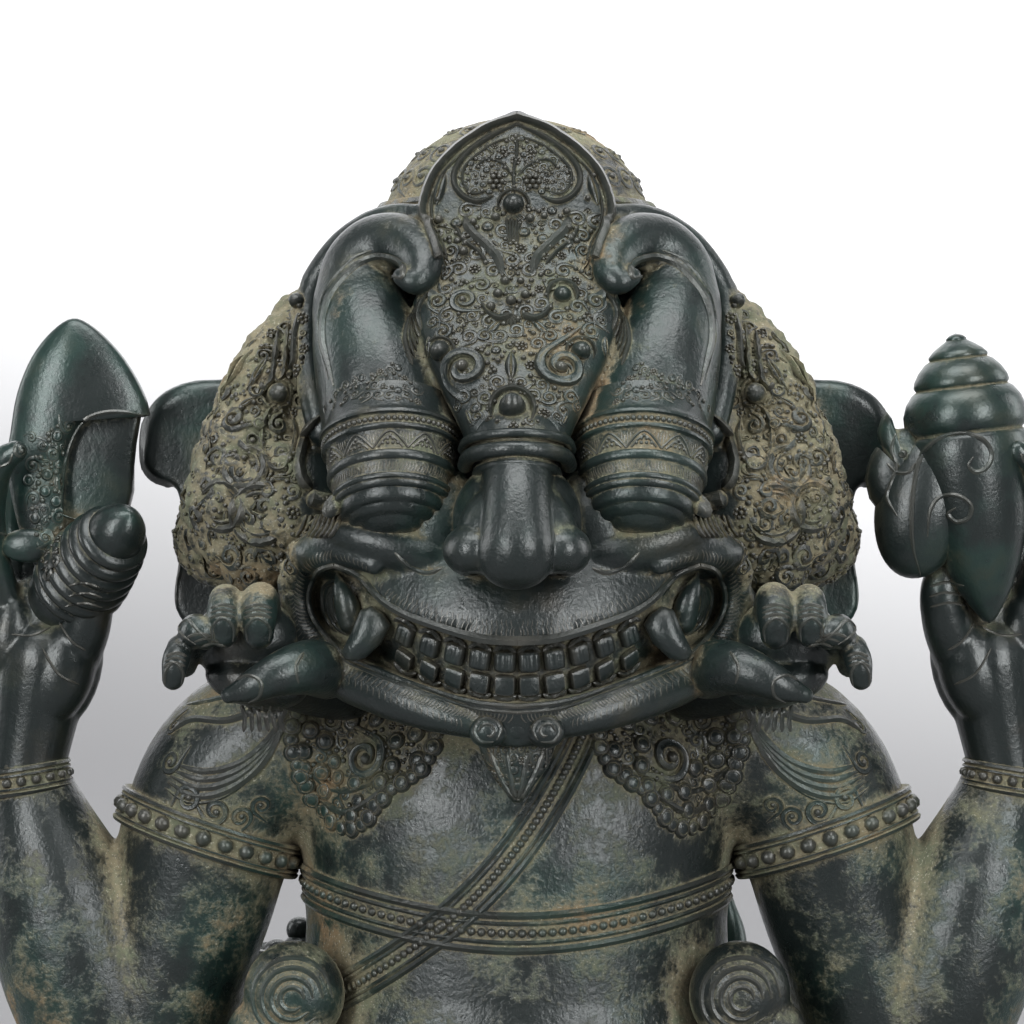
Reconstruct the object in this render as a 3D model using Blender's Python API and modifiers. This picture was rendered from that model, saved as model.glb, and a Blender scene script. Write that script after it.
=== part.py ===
"""A four-armed seated statue of cast bronze on a low lotus base.

The side with the guardian face looks along -Y and the elephant face along +Y.
Metres, +Z up, with the origin on the floor under the middle of the statue.
"""

import math

import bmesh
import bpy
from mathutils import Matrix, Vector
from mathutils.bvhtree import BVHTree

# Driving dimensions, in metres.
FIGURE_HEIGHT = 0.970
BASE_HEIGHT = 0.130
BASE_LEDGE = 0.018
SEAT_GAP = 0.0003
PETALS = 18
PETAL_STEPS = 4
PETAL_SWELL = 0.020

# The casting's surface: the grain it is fused at, and the facets that it ends with.
FUSE_GRAIN = 0.0042
FIGURE_TRIANGLES = 7600
CARVED_WEIGHT = 0.5
CARVED_INFLUENCE = 0.35

# The figure's pose and carving are shares of its height, in parts of which it has 970.
PARTS_HIGH = 970
PART = FIGURE_HEIGHT / PARTS_HIGH

# How far the seat spreads, in parts: to the knees, to the toes, and to the small of the back.
SEAT_HALF_WIDTH = 378
SEAT_FRONT = 344
SEAT_BACK = -308

# Carved curls that show from a step away, as (x, z, size) in parts.
MANE_CURLS = ((200, 772, 26), (230, 736, 28), (202, 708, 26), (246, 688, 30), (210, 654, 27), (256, 634, 34),
              (214, 604, 28), (270, 582, 28))
PLAQUE_CURLS = ((36, 906, 26), (42, 856, 25), (44, 804, 29), (40, 750, 29))

BRONZE_COLOUR = (0.075, 0.085, 0.07, 1.0)
BRONZE_ROUGHNESS = 0.38
BASE_COLOUR = (0.10, 0.105, 0.08, 1.0)
BASE_ROUGHNESS = 0.5


class Clay:
    """Lumps, rolls, turned forms and slabs that overlap, laid together in parts before they are fused."""

    def __init__(self):
        self.mesh = bmesh.new()
        self.surface = None

    def keep(self, shape, both):
        """Takes in a shape, and its mirror image across the middle if both."""
        layer = bpy.data.meshes.new("layer")
        bmesh.ops.recalc_face_normals(shape, faces=shape.faces)
        shape.to_mesh(layer)
        self.mesh.from_mesh(layer)
        if both:
            bmesh.ops.scale(shape, vec=(-1, 1, 1), verts=shape.verts)
            bmesh.ops.reverse_faces(shape, faces=shape.faces)
            shape.to_mesh(layer)
            self.mesh.from_mesh(layer)
        shape.free()
        bpy.data.meshes.remove(layer)

    def ball(self, centre, radii, both=False, turn=0.0, rings=10):
        """An ellipsoid, turned by degrees about the line of sight."""
        spin = Matrix.Rotation(math.radians(turn), 4, "Y")
        place = Matrix.Translation(centre) @ spin @ Matrix.Diagonal((*radii, 1))
        shape = bmesh.new()
        bmesh.ops.create_uvsphere(shape, u_segments=2 * rings, v_segments=rings, radius=1, matrix=place)
        self.keep(shape, both)

    def roll(self, path, both=False):
        """A round roll through points (x, y, z, radius), with round ends."""
        curve = bpy.data.curves.new("roll", "CURVE")
        curve.dimensions = "3D"
        curve.bevel_depth = 1.0
        curve.bevel_resolution = 3
        curve.resolution_u = 5
        curve.use_fill_caps = True
        spline = curve.splines.new("BEZIER")
        spline.radius_interpolation = "CARDINAL"
        spline.bezier_points.add(len(path) - 1)
        for point, (x, y, z, radius) in zip(spline.bezier_points, path):
            point.co = (x, y, z)
            point.radius = radius
            point.handle_left_type = point.handle_right_type = "AUTO"
        guide = bpy.data.objects.new("roll", curve)
        tube = guide.to_mesh()
        shape = bmesh.new()
        shape.from_mesh(tube)
        guide.to_mesh_clear()
        bpy.data.objects.remove(guide)
        for x, y, z, radius in (path[0], path[-1]):
            place = Matrix.Translation((x, y, z))
            bmesh.ops.create_uvsphere(shape, u_segments=12, v_segments=8, radius=radius, matrix=place)
        self.keep(shape, both)

    def turned(self, profile, start, along, both=False, steps=24):
        """A form turned on the line from start along a direction, from points (distance, radius)."""
        shape = bmesh.new()
        verts = [shape.verts.new((radius, 0, distance)) for distance, radius in profile]
        edges = [shape.edges.new(pair) for pair in zip(verts, verts[1:])]
        bmesh.ops.spin(shape, geom=verts + edges, axis=(0, 0, 1), cent=(0, 0, 0), angle=math.tau, steps=steps)
        bmesh.ops.remove_doubles(shape, verts=shape.verts, dist=0.01)
        aim = Vector(along).to_track_quat("Z", "Y").to_matrix().to_4x4()
        bmesh.ops.transform(shape, matrix=Matrix.Translation(start) @ aim, verts=shape.verts)
        self.keep(shape, both)

    def loft(self, rings, both=False):
        """A closed form through rings of points, each ring with as many points as the last."""
        shape = bmesh.new()
        made = [[shape.verts.new(point) for point in ring] for ring in rings]
        for lower, upper in zip(made, made[1:]):
            for i in range(len(lower)):
                j = (i + 1) % len(lower)
                shape.faces.new((lower[i], lower[j], upper[j], upper[i]))
        shape.faces.new(made[0][::-1])
        shape.faces.new(made[-1])
        self.keep(shape, both)

    def column(self, rows, square=1.0, count=28):
        """An upright form from rows (z, half width, half depth, y of the middle). A lower square is boxier."""
        rings = []
        for z, half_width, half_depth, middle in rows:
            ring = []
            for i in range(count):
                turn = math.tau * i / count
                across = math.copysign(abs(math.cos(turn)) ** square, math.cos(turn))
                deep = math.copysign(abs(math.sin(turn)) ** square, math.sin(turn))
                ring.append((half_width * across, middle + half_depth * deep, z))
            rings.append(ring)
        self.loft(rings)

    def shield(self, outline, centre, rim, crown, back, both=False):
        """A board with an outline of points (x, z), flat behind, that swells from rim to crown at its centre."""
        shares = (1.0, 0.97, 0.9, 0.75, 0.55, 0.3, 0.1)
        rings = [[(x, back, z) for x, z in outline]]
        for share in shares:
            depth = rim + (crown - rim) * math.sqrt(1 - share * share)
            cx, cz = centre
            rings.append([(cx + share * (x - cx), depth, cz + share * (z - cz)) for x, z in outline])
        self.loft(rings, both)

    def settle(self):
        """Notes the surface so far, for relief to be laid on."""
        self.surface = BVHTree.FromBMesh(self.mesh)

    def front(self, x, z):
        """The y of the settled surface that shows at (x, z) from the guardian's side."""
        hit = self.surface.ray_cast(Vector((x, -1000, z)), Vector((0, 1, 0)))[0]
        return hit.y if hit else 0.0

    def curl(self, x, z, size, start=0.0, turns=1.4, spin=1, thick=0.2):
        """A carved curl that lies on the guardian's side, wound in from its outer end, with a bead at its eye."""
        steps = 9
        path = []
        for i in range(steps + 1):
            share = i / steps
            reach = size * (1 - 0.8 * share)
            turn = math.radians(start) + spin * math.tau * turns * share
            px = x + reach * math.cos(turn)
            pz = z + reach * math.sin(turn)
            path.append((px, self.front(px, pz), pz, size * thick * (0.6 + 0.4 * share)))
        eye = self.front(x, z)
        self.roll(path, both=x != 0)
        self.ball((x, eye, z), (size * 0.26,) * 3, both=x != 0, rings=6)


def mirrored(half):
    """A whole outline from the points of its right half, listed from the top down."""
    return half + [(-x, z) for x, z in half[::-1] if x > 0]


def arc_of(count, low, high):
    """Evenly spaced values from low to high, both included."""
    return [low + (high - low) * i / (count - 1) for i in range(count)]


def model_body(clay):
    """The seated trunk of the body, with its round belly towards +Y."""
    clay.column(
        [
            (-30, 205, 150, -35),
            (20, 238, 178, -28),
            (75, 236, 178, -15),
            (130, 208, 164, 0),
            (200, 189, 155, 6),
            (260, 187, 152, 4),
            (320, 192, 148, 0),
            (370, 204, 142, 0),
            (415, 205, 132, 0),
            (455, 178, 118, 0),
            (500, 135, 105, 0),
        ]
    )
    clay.ball((0, 78, 185), (165, 148, 132))
    clay.ball((0, 72, 425), (128, 92, 92))
    clay.ball((0, 10, 520), (150, 125, 90))


def model_legs(clay):
    """Thighs spread to the knees, and shins that bring the soles together in front."""
    clay.roll([(95, 0, 72, 84), (200, 60, 78, 80), (300, 128, 72, 70)], both=True)
    clay.roll([(302, 140, 66, 66), (210, 222, 52, 50), (105, 262, 46, 41)], both=True)
    clay.ball((40, 268, 40), (36, 62, 36), both=True)
    for toe in range(4):
        clay.ball((16 + 15 * toe, 328 - 5 * toe, 44 - 3 * toe), (9, 12, 13), both=True, rings=6)


def model_arms(clay):
    """Shoulders, upper arms and the forearms that branch from each elbow, one raised and one to the lap."""
    clay.roll([(165, 0, 420, 88), (236, -3, 398, 82), (270, -2, 345, 79), (291, 0, 265, 71), (318, 4, 180, 66),
               (342, 5, 118, 64)], both=True)
    clay.roll([(342, 5, 116, 64), (386, 1, 215, 72), (412, -2, 305, 62), (427, -4, 358, 45), (436, -5, 398, 35)],
              both=True)
    clay.roll([(342, 10, 112, 58), (322, 110, 118, 56), (272, 190, 138, 43), (236, 232, 156, 31)], both=True)
    clay.ball((214, 250, 166), (36, 40, 22), both=True)
    for finger in range(4):
        across = 196 + 14 * finger
        clay.roll([(across, 268, 172, 9), (across - 3, 292, 168, 8), (across - 4, 303, 152, 7)], both=True)


def band(clay, centre, along, radius, height, bulge, both=True):
    """A bracelet or armlet: two edge rings and a swelling middle."""
    half = height / 2
    profile = [(-half - 2, 0), (-half, radius + bulge * 0.5), (-half * 0.75, radius + bulge), (-half * 0.45, radius),
               (0, radius + bulge * 0.7), (half * 0.45, radius), (half * 0.75, radius + bulge),
               (half, radius + bulge * 0.5), (half + 2, 0)]
    clay.turned(profile, centre, along, both)


def model_arm_bands(clay):
    """The beaded armlets and the bracelets of the raised hands."""
    band(clay, (272, -2, 335), (0.28, 0, -1), 79, 30, 6)
    band(clay, (434, -5, 384), (0.2, 0, 1), 38, 30, 6)
    band(clay, (252, 213, 147), (-0.6, 0.72, 0.3), 36, 24, 5)
    beads = 12
    for i in range(beads):
        turn = math.tau * i / beads
        clay.ball((272 + 80 * math.cos(turn), -2 + 82 * math.sin(turn), 335 + 22 * math.cos(turn)), (8, 8, 8),
                  both=True, rings=6)


def model_raised_hands(clay):
    """Open palms towards the guardian's side, the thumb inwards and the first finger bent over what they hold."""
    clay.roll([(436, -5, 398, 35), (428, -5, 440, 39), (420, -6, 488, 44)], both=True)
    clay.ball((420, -6, 494), (54, 28, 74), both=True, turn=-6)
    clay.ball((402, -24, 482), (30, 27, 50), both=True, turn=-16)
    clay.roll([(392, -18, 496, 25), (378, -32, 528, 22), (374, -38, 556, 19), (378, -38, 578, 15)], both=True)
    clay.roll([(450, -14, 530, 16), (461, -36, 590, 14), (457, -66, 640, 13), (444, -84, 668, 12),
               (434, -88, 674, 10)], both=True)
    for finger in range(3):
        across = 444 - 16 * finger
        clay.roll([(across, 12, 540, 14), (across + 5, 24, 600, 13), (across + 3, 12, 644, 11)], both=True)


def model_conch(clay):
    """The conch on one palm: stepped whorls to the top, a leaf along its lip, and a pointed tail."""
    tail = Vector((414, -52, 524))
    crown = Vector((384, -52, 778))
    length = (crown - tail).length
    steps = [(0.0, 0), (0.01, 7), (0.12, 24), (0.25, 38), (0.4, 48), (0.53, 54), (0.635, 54), (0.657, 46), (0.68, 55),
             (0.74, 55), (0.79, 48), (0.813, 38), (0.83, 43), (0.87, 39), (0.902, 31), (0.914, 23), (0.93, 26),
             (0.965, 15), (0.98, 9), (1.0, 0)]
    clay.turned([(share * length, radius) for share, radius in steps], tail, crown - tail)
    clay.ball((356, -58, 628), (42, 34, 66), turn=14)
    for i, height in enumerate(arc_of(4, 696, 622)):
        clay.ball((327 - 5 * i, -60, height), (17, 12, 16), rings=6)


def model_axe(clay):
    """The axe in the other hand: a round blade with a hooked tip, a carved socket and a ringed butt."""
    blade = [(-418, 560), (-436, 600), (-446, 640), (-449, 668), (-446, 691), (-440, 726), (-427, 758), (-409, 781),
             (-391, 792), (-374, 785), (-354, 766), (-339, 745), (-328, 723), (-324, 707), (-343, 708), (-360, 708),
             (-375, 704), (-385, 695), (-393, 677), (-398, 653), (-396, 580)]
    plate = [(-404, 708), (-336, 706), (-339, 682), (-341, 640), (-350, 600), (-404, 590)]
    clay.loft([[(x, y, z) for x, z in blade] for y in (-14, -38)])
    clay.loft([[(x, y, z) for x, z in plate] for y in (4, -22)])
    clay.ball((-416, -42, 640), (18, 12, 62), turn=4)
    rings = [(-28, 0), (-26, 32), (0, 40)]
    for start, radius in ((2, 42), (17, 42), (32, 41), (47, 40), (62, 38), (77, 35)):
        rings += [(start, radius - 6), (start + 7, radius), (start + 13, radius - 6)]
    rings += [(92, 27), (104, 25), (115, 18), (124, 5), (126, 0)]
    clay.turned(rings, (-394, -20, 552), (0.46, -0.72, 0.52))


def model_skull(clay):
    """The mass that both faces share, and the bun of hair on top of it."""
    clay.ball((0, 10, 745), (172, 160, 165))
    clay.ball((0, -62, 640), (185, 120, 130))
    clay.ball((0, -25, 866), (121, 108, 104))
    clay.turned([(-12, 0), (-11, 112), (-6, 124), (6, 126), (12, 118), (13, 0)], (0, -22, 884), (0, 0, 1))
    locks = 14
    for i in range(locks):
        turn = math.tau * (i + 0.5) / locks
        clay.ball((104 * math.cos(turn), -22 + 90 * math.sin(turn), 916), (22, 22, 20), rings=8)


def model_mane(clay):
    """The carved mane that flares round the guardian's face."""
    half = [(0, 872), (120, 868), (160, 848), (184, 816), (207, 788), (232, 762), (250, 738), (264, 708), (273, 680),
            (281, 650), (295, 622), (303, 602), (298, 577), (280, 560), (245, 548), (195, 540), (130, 500), (0, 480)]
    clay.shield(mirrored(half), (0, 680), -40, -165, 12)


def model_ears(clay):
    """The elephant's ears, which spread behind the mane."""
    outline = [(110, 800), (170, 765), (230, 738), (275, 732), (302, 727), (320, 712), (330, 690), (332, 664),
               (322, 650), (306, 645), (300, 625), (299, 590), (304, 560), (303, 535), (288, 516), (255, 505),
               (205, 505), (150, 530), (110, 560)]
    clay.shield(outline, (200, 640), 32, 48, 14, both=True)
    clay.roll([(270, 30, 730, 8), (303, 32, 724, 9), (326, 34, 690, 9), (325, 34, 656, 8)], both=True)


def model_plaque(clay):
    """The leaf-shaped brow plaque, with a rim, running down between the horns to the nose."""
    rows = [(966, 4, -128), (957, 24, -131), (945, 44, -136), (930, 60, -142), (912, 73, -149), (895, 80, -156),
            (878, 83, -162), (864, 81, -168), (850, 76, -175), (836, 74, -182), (815, 80, -194), (798, 88, -204),
            (772, 84, -218), (745, 74, -234), (715, 60, -250), (692, 48, -262), (668, 38, -268)]
    clay.column([(z, half, 18 + (966 - z) * 0.06, front + 18) for z, half, front in rows[::-1]], square=0.7)
    clay.roll([(74, -186, 830, 7), (80, -172, 850, 8), (84, -163, 880, 8), (77, -157, 903, 8), (62, -148, 926, 8),
               (36, -139, 945, 8), (0, -132, 961, 8)], both=True)


def model_horns(clay):
    """The brows that rise from the eyes as horns and curl in beside the plaque, each in a broad outer fold."""
    clay.roll([(106, -200, 688, 56), (119, -190, 732, 51), (129, -168, 774, 45), (135, -146, 808, 38),
               (130, -140, 837, 31), (110, -150, 851, 26), (90, -170, 846, 22), (79, -192, 829, 18),
               (87, -207, 815, 12), (97, -205, 819, 8)], both=True)
    clay.roll([(166, -150, 690, 13), (178, -132, 740, 13), (182, -118, 772, 13), (178, -104, 808, 13),
               (162, -102, 838, 13), (138, -108, 861, 13), (108, -122, 874, 12), (80, -138, 876, 9)], both=True)


def model_eyes(clay):
    """Eyes that stand out from banded sockets and look down, with a lobe at the outer corner of each."""
    socket = [(-30, 0), (-28, 50), (-3, 54), (0, 62), (5, 63), (7, 56), (12, 56), (14, 61), (18, 60), (20, 53), (34, 50),
              (36, 57), (42, 57), (45, 48), (53, 47), (56, 53), (63, 51), (66, 44), (74, 43), (77, 36), (82, 33),
              (84, 25), (90, 16), (92, 0)]
    clay.turned(socket, (105, -218, 685), (-0.03, -0.4, -0.917), both=True)
    clay.ball((164, -166, 657), (17, 20, 42), both=True, turn=6)
    clay.ball((165, -172, 626), (16, 14, 10), both=True)


def model_nose(clay):
    """A broad nose under three rings and a bead, with round wings."""
    clay.roll([(0, -262, 668, 31), (0, -286, 648, 30), (1, -306, 628, 30), (2, -324, 608, 31), (3, -338, 590, 33)])
    clay.ball((0, -262, 616), (54, 44, 50))
    clay.ball((0, -250, 682), (43, 42, 28))
    clay.ball((43, -302, 587), (20, 30, 20), both=True)
    for half, height, front, thick in ((45, 684, -300, 5), (43, 670, -305, 7), (33, 657, -309, 5)):
        path = []
        for i in range(7):
            turn = math.pi * i / 6
            path.append((-half * math.cos(turn), -252 + (front + 252) * math.sin(turn),
                         height - 10 + 10 * math.sin(turn), thick))
        clay.roll(path)
    clay.ball((-3, -262, 706), (14, 14, 14))


def model_mouth(clay):
    """The grin: one lip that runs round from corner to corner, two rows of teeth, and fangs in the corners."""
    muzzle = [(428, 24, 60, -215), (440, 62, 110, -170), (455, 92, 150, -132), (468, 126, 180, -90),
              (490, 150, 184, -88), (510, 170, 186, -88), (530, 182, 190, -88), (545, 190, 198, -90),
              (560, 195, 190, -92), (580, 194, 180, -92), (600, 184, 168, -90), (620, 168, 146, -86)]
    clay.column(muzzle)
    clay.ball((92, -204, 590), (84, 62, 30), both=True, turn=-14)
    lip = [(0, -280, 527, 14), (44, -278, 532, 14), (70, -272, 540, 13), (95, -260, 549, 12), (113, -248, 560, 11),
           (126, -238, 573, 10), (140, -228, 583, 9), (155, -214, 588, 9), (172, -196, 579, 10),
           (184, -180, 558, 10), (183, -178, 535, 10), (172, -188, 513, 11), (155, -204, 496, 12),
           (130, -226, 481, 13), (100, -246, 469, 13), (70, -260, 459, 13), (35, -270, 450, 13), (0, -272, 447, 13)]
    clay.roll(lip, both=True)
    jaw = [(161, -214, 594, 14), (180, -188, 582, 14), (188, -170, 556, 14), (184, -168, 530, 16),
           (170, -178, 506, 20), (146, -194, 487, 23), (116, -220, 472, 22), (85, -244, 460, 18), (40, -262, 446, 13)]
    clay.roll(jaw, both=True)
    for i in range(5):
        across = 10 + 20.5 * i
        rise = 0.0025 * across * across
        deep = -276 + 0.0042 * across * across
        clay.ball((across, deep, 499 + rise), (9.5, 13, 9.5), both=True, rings=6)
        clay.ball((across, deep + 2, 478 + rise), (9.5, 12, 9.5), both=True, rings=6)
    clay.roll([(140, -212, 528, 12), (146, -214, 548, 10), (152, -210, 568, 4)], both=True)
    clay.roll([(112, -242, 534, 12), (126, -246, 518, 12), (140, -238, 503, 10)], both=True)
    clay.ball((24, -282, 437), (16, 14, 12), both=True, rings=8)
    for row in range(3):
        for i in range(3 - row):
            across = 22 * (i - (2 - row) / 2)
            clay.ball((across, -262 + 14 * row, 422 - 16 * row), (14, 16, 13), rings=6)


def model_guardian_hands(clay):
    """The small clawed hands beside the jaw, their fingers bent forwards and down and the thumbs outwards."""
    clay.roll([(130, -55, 462, 32), (185, -125, 474, 31), (222, -170, 500, 34)], both=True)
    clay.ball((228, -176, 510), (46, 34, 38), both=True)
    clay.ball((220, -184, 476), (46, 34, 24), both=True, turn=-12)
    fingers = ((214, 549, 214, 520, 15.5), (243, 549, 243, 520, 14), (268, 525, 258, 518, 13.5),
               (281, 509, 285, 483, 11.5))
    for top_x, top_z, tip_x, tip_z, thick in fingers:
        clay.roll([(top_x, -184, top_z - 16, thick), (top_x, -216, top_z - 2, thick), (top_x, -238, top_z - 4, thick),
                   ((top_x + tip_x) / 2, -250, (top_z + tip_z) / 2, thick), (tip_x, -248, tip_z, thick * 0.82)],
                  both=True)
    clay.roll([(160, -200, 488, 24), (176, -236, 492, 23), (200, -258, 486, 18), (222, -262, 476, 13),
               (238, -260, 470, 8)], both=True)


def model_elephant_face(clay):
    """The face on the far side: a domed brow, small eyes, short tusks and a trunk that lies on the belly."""
    clay.ball((0, 62, 740), (132, 118, 140))
    clay.ball((50, 98, 832), (72, 70, 70), both=True)
    clay.ball((68, 112, 680), (58, 62, 78), both=True)
    clay.ball((80, 152, 742), (15, 12, 10), both=True, rings=6)
    clay.roll([(0, 146, 740, 72), (0, 186, 660, 65), (0, 200, 570, 56), (-5, 202, 480, 48), (-16, 206, 400, 43),
               (-42, 222, 330, 38), (-88, 238, 280, 33), (-132, 242, 258, 28), (-164, 238, 272, 23),
               (-172, 232, 302, 18)])
    clay.roll([(58, 170, 640, 21), (70, 206, 602, 17), (74, 232, 572, 9)], both=True)
    clay.roll([(0, 188, 806, 12), (60, 172, 800, 12), (112, 120, 792, 12), (132, 50, 788, 12)], both=True)
    clay.shield([(0, 890), (26, 862), (34, 826), (20, 802), (-20, 802), (-34, 826), (-26, 862)], (0, 838), 150, 206,
                120)


def model_offering(clay):
    """The bowl and the short tusk that the hands in the lap hold."""
    clay.turned([(0, 0), (1, 30), (8, 44), (26, 52), (34, 50), (36, 0)], (-206, 262, 176), (0, 0, 1))
    clay.roll([(206, 262, 190, 14), (206, 270, 222, 12), (202, 282, 250, 6)])


def model_dress(clay):
    """The belt, the cord across the chest, the sash knots and the ornaments on chest and shoulders."""
    clay.settle()
    turns = 22
    for height, dip in ((290, 30), (276, 30)):
        path = []
        for i in range(turns + 1):
            turn = math.tau * i / turns
            across = math.cos(turn)
            deep = math.sin(turn)
            path.append((191 * across, 4 + 155 * deep, height - dip * abs(deep) ** 1.5, 8))
        clay.roll(path)
    strap = [(66, 448), (40, 395), (8, 345), (-34, 295), (-86, 248), (-150, 206)]
    for shift in (-10, 10):
        clay.roll([(x + shift, clay.front(x + shift, z - shift * 0.6), z - shift * 0.6, 9) for x, z in strap])
    clay.ball((192, -108, 206), (44, 40, 46), both=True, rings=8)
    clay.ball((206, -100, 168), (46, 42, 40), both=True, rings=8)
    for x, z, size in ((128, 414, 30), (150, 364, 26)):
        clay.curl(x, z, size, start=200, spin=-1, thick=0.3)
    for i in range(3):
        clay.roll([(206 + 12 * i, -78 + 3 * i, 440 - 22 * i, 7), (246 + 9 * i, -92 + 4 * i, 404 - 18 * i, 8),
                   (286 + 4 * i, -68 + 5 * i, 398 - 16 * i, 7)], both=True)


def model_carving(clay):
    """The curls of the mane and the plaque that show from a step away."""
    clay.settle()
    for i, (x, z, size) in enumerate(MANE_CURLS):
        clay.curl(x, z, size, start=70 * i, spin=(-1) ** i, thick=0.3, turns=1.1)
    for x, z, size in PLAQUE_CURLS:
        clay.curl(x, z, size, start=210, spin=-1, thick=0.28, turns=1.1)
    clay.ball((-3, clay.front(-3, 882), 882), (14, 14, 14), rings=8)
    clay.ball((0, clay.front(0, 930), 930), (12, 10, 18), rings=8)
    clay.ball((188, -112, 800), (11, 11, 12), both=True, rings=8)
    clay.ball((196, -128, 728), (10, 10, 10), both=True, rings=8)


def keep_outer_skin(mesh):
    """Takes out the small closed pockets that fusing leaves between lumps."""
    shape = bmesh.new()
    shape.from_mesh(mesh)
    outermost = max(shape.verts, key=lambda vert: vert.co.z)
    skin = {outermost}
    reached = [outermost]
    while reached:
        vert = reached.pop()
        for edge in vert.link_edges:
            other = edge.other_vert(vert)
            if other not in skin:
                skin.add(other)
                reached.append(other)
    bmesh.ops.delete(shape, geom=[vert for vert in shape.verts if vert not in skin], context="VERTS")
    shape.to_mesh(mesh)
    shape.free()


def is_carved(point):
    """Whether a point, in parts, lies on the guardian's face, mane or hands, which keep more facets."""
    return point.y < -100 and point.z > 380 or point.z > 890


def fused(clay, name, triangles):
    """One closed casting of all the clay: fused at the grain, eased, and reduced to its facets."""
    mesh = bpy.data.meshes.new(name)
    clay.mesh.to_mesh(mesh)
    mesh.transform(Matrix.Scale(PART, 4))
    block = bpy.data.objects.new(name, mesh)
    bpy.context.scene.collection.objects.link(block)
    fuse = block.modifiers.new("fuse", "REMESH")
    fuse.mode = "VOXEL"
    fuse.voxel_size = FUSE_GRAIN
    ease = block.modifiers.new("ease", "SMOOTH")
    ease.factor = 0.5
    ease.iterations = 2
    bpy.context.view_layer.update()
    graph = bpy.context.evaluated_depsgraph_get()
    full = bpy.data.meshes.new_from_object(block.evaluated_get(graph))
    block.modifiers.clear()
    block.data = full
    bpy.data.meshes.remove(mesh)
    keep_outer_skin(full)
    carved = block.vertex_groups.new(name="carved")
    fine = [vert.index for vert in full.vertices if is_carved(vert.co / PART)]
    carved.add(fine, CARVED_WEIGHT, "REPLACE")
    facet = block.modifiers.new("facet", "DECIMATE")
    facet.ratio = triangles / (2 * len(full.polygons))
    facet.use_collapse_triangulate = True
    facet.vertex_group = carved.name
    facet.invert_vertex_group = True
    facet.vertex_group_factor = CARVED_INFLUENCE
    return block


def material(name, colour, roughness):
    made = bpy.data.materials.new(name)
    made.use_nodes = True
    shader = made.node_tree.nodes["Principled BSDF"]
    shader.inputs["Base Color"].default_value = colour
    shader.inputs["Roughness"].default_value = roughness
    shader.inputs["Metallic"].default_value = 0.85
    return made


def figure():
    """The statue itself, one casting, cut flat where it sits on its base."""
    clay = Clay()
    for model in (model_body, model_legs, model_arms, model_arm_bands, model_raised_hands, model_conch, model_axe,
                  model_skull, model_mane, model_ears, model_plaque, model_horns, model_eyes, model_nose,
                  model_mouth, model_guardian_hands, model_elephant_face, model_offering, model_dress,
                  model_carving):
        model(clay)
    block = fused(clay, "ganesha_figure", FIGURE_TRIANGLES)
    block.location.z = BASE_HEIGHT + SEAT_GAP
    bpy.ops.mesh.primitive_cube_add(size=1, location=(0, 0, BASE_HEIGHT + SEAT_GAP - FIGURE_HEIGHT / 2))
    cutter = bpy.context.active_object
    cutter.name = "seat_cutter"
    cutter.scale = (FIGURE_HEIGHT * 2, FIGURE_HEIGHT * 2, FIGURE_HEIGHT)
    cutter.hide_render = True
    cutter.display_type = "WIRE"
    cut = block.modifiers.new("flat seat", "BOOLEAN")
    cut.operation = "DIFFERENCE"
    cut.object = cutter
    block.data.materials.append(material("dark bronze", BRONZE_COLOUR, BRONZE_ROUGHNESS))
    return block


def petal_swell(turn, share):
    """How far a petal stands out of the base at an angle and at a share of its height."""
    swell = 0.0
    for root, tip, offset in ((0.47, 0.86, 0.0), (0.42, 0.13, 0.5)):
        along = (share - root) / (tip - root)
        if not 0 <= along <= 1:
            continue
        across = 2 * ((turn / math.tau * PETALS + offset) % 1) - 1
        width = (1 - along ** 2) ** 0.5
        if abs(across) < width:
            swell = PETAL_SWELL * (1 - (across / width) ** 2) ** 0.5 * math.sin(math.pi * (0.15 + 0.7 * along))
    return swell


def lotus_base():
    """The low oval base, with a ring of petals turned up from its waist and one turned down."""
    half_width = SEAT_HALF_WIDTH * PART + BASE_LEDGE
    half_depth = (SEAT_FRONT - SEAT_BACK) * PART / 2 + BASE_LEDGE
    middle = (SEAT_FRONT + SEAT_BACK) * PART / 2
    shares = ((0, 0), (0, 0.985), (0.08, 1.0), (0.13, 0.985), (0.2, 0.945), (0.28, 0.925), (0.36, 0.91),
              (0.43, 0.895), (0.5, 0.895), (0.58, 0.91), (0.67, 0.925), (0.77, 0.945), (0.86, 0.97),
              (0.93, 0.98), (1, 0.97), (1, 0))
    shape = bmesh.new()
    verts = [shape.verts.new((reach, 0, share)) for share, reach in shares]
    edges = [shape.edges.new(pair) for pair in zip(verts, verts[1:])]
    steps = PETALS * PETAL_STEPS
    bmesh.ops.spin(shape, geom=verts + edges, axis=(0, 0, 1), cent=(0, 0, 0), angle=math.tau, steps=steps)
    bmesh.ops.remove_doubles(shape, verts=shape.verts, dist=1e-5)
    for vert in shape.verts:
        turn = math.atan2(vert.co.y, vert.co.x) % math.tau
        swell = petal_swell(turn, vert.co.z)
        out = Vector((math.cos(turn), math.sin(turn), 0)) * swell
        vert.co = (vert.co.x * half_width, vert.co.y * half_depth + middle, vert.co.z * BASE_HEIGHT)
        vert.co += out
    bmesh.ops.recalc_face_normals(shape, faces=shape.faces)
    mesh = bpy.data.meshes.new("lotus_base")
    shape.to_mesh(mesh)
    base = bpy.data.objects.new("lotus_base", mesh)
    bpy.context.scene.collection.objects.link(base)
    base.data.materials.append(material("dark bronze of the base", BASE_COLOUR, BASE_ROUGHNESS))
    return base


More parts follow.
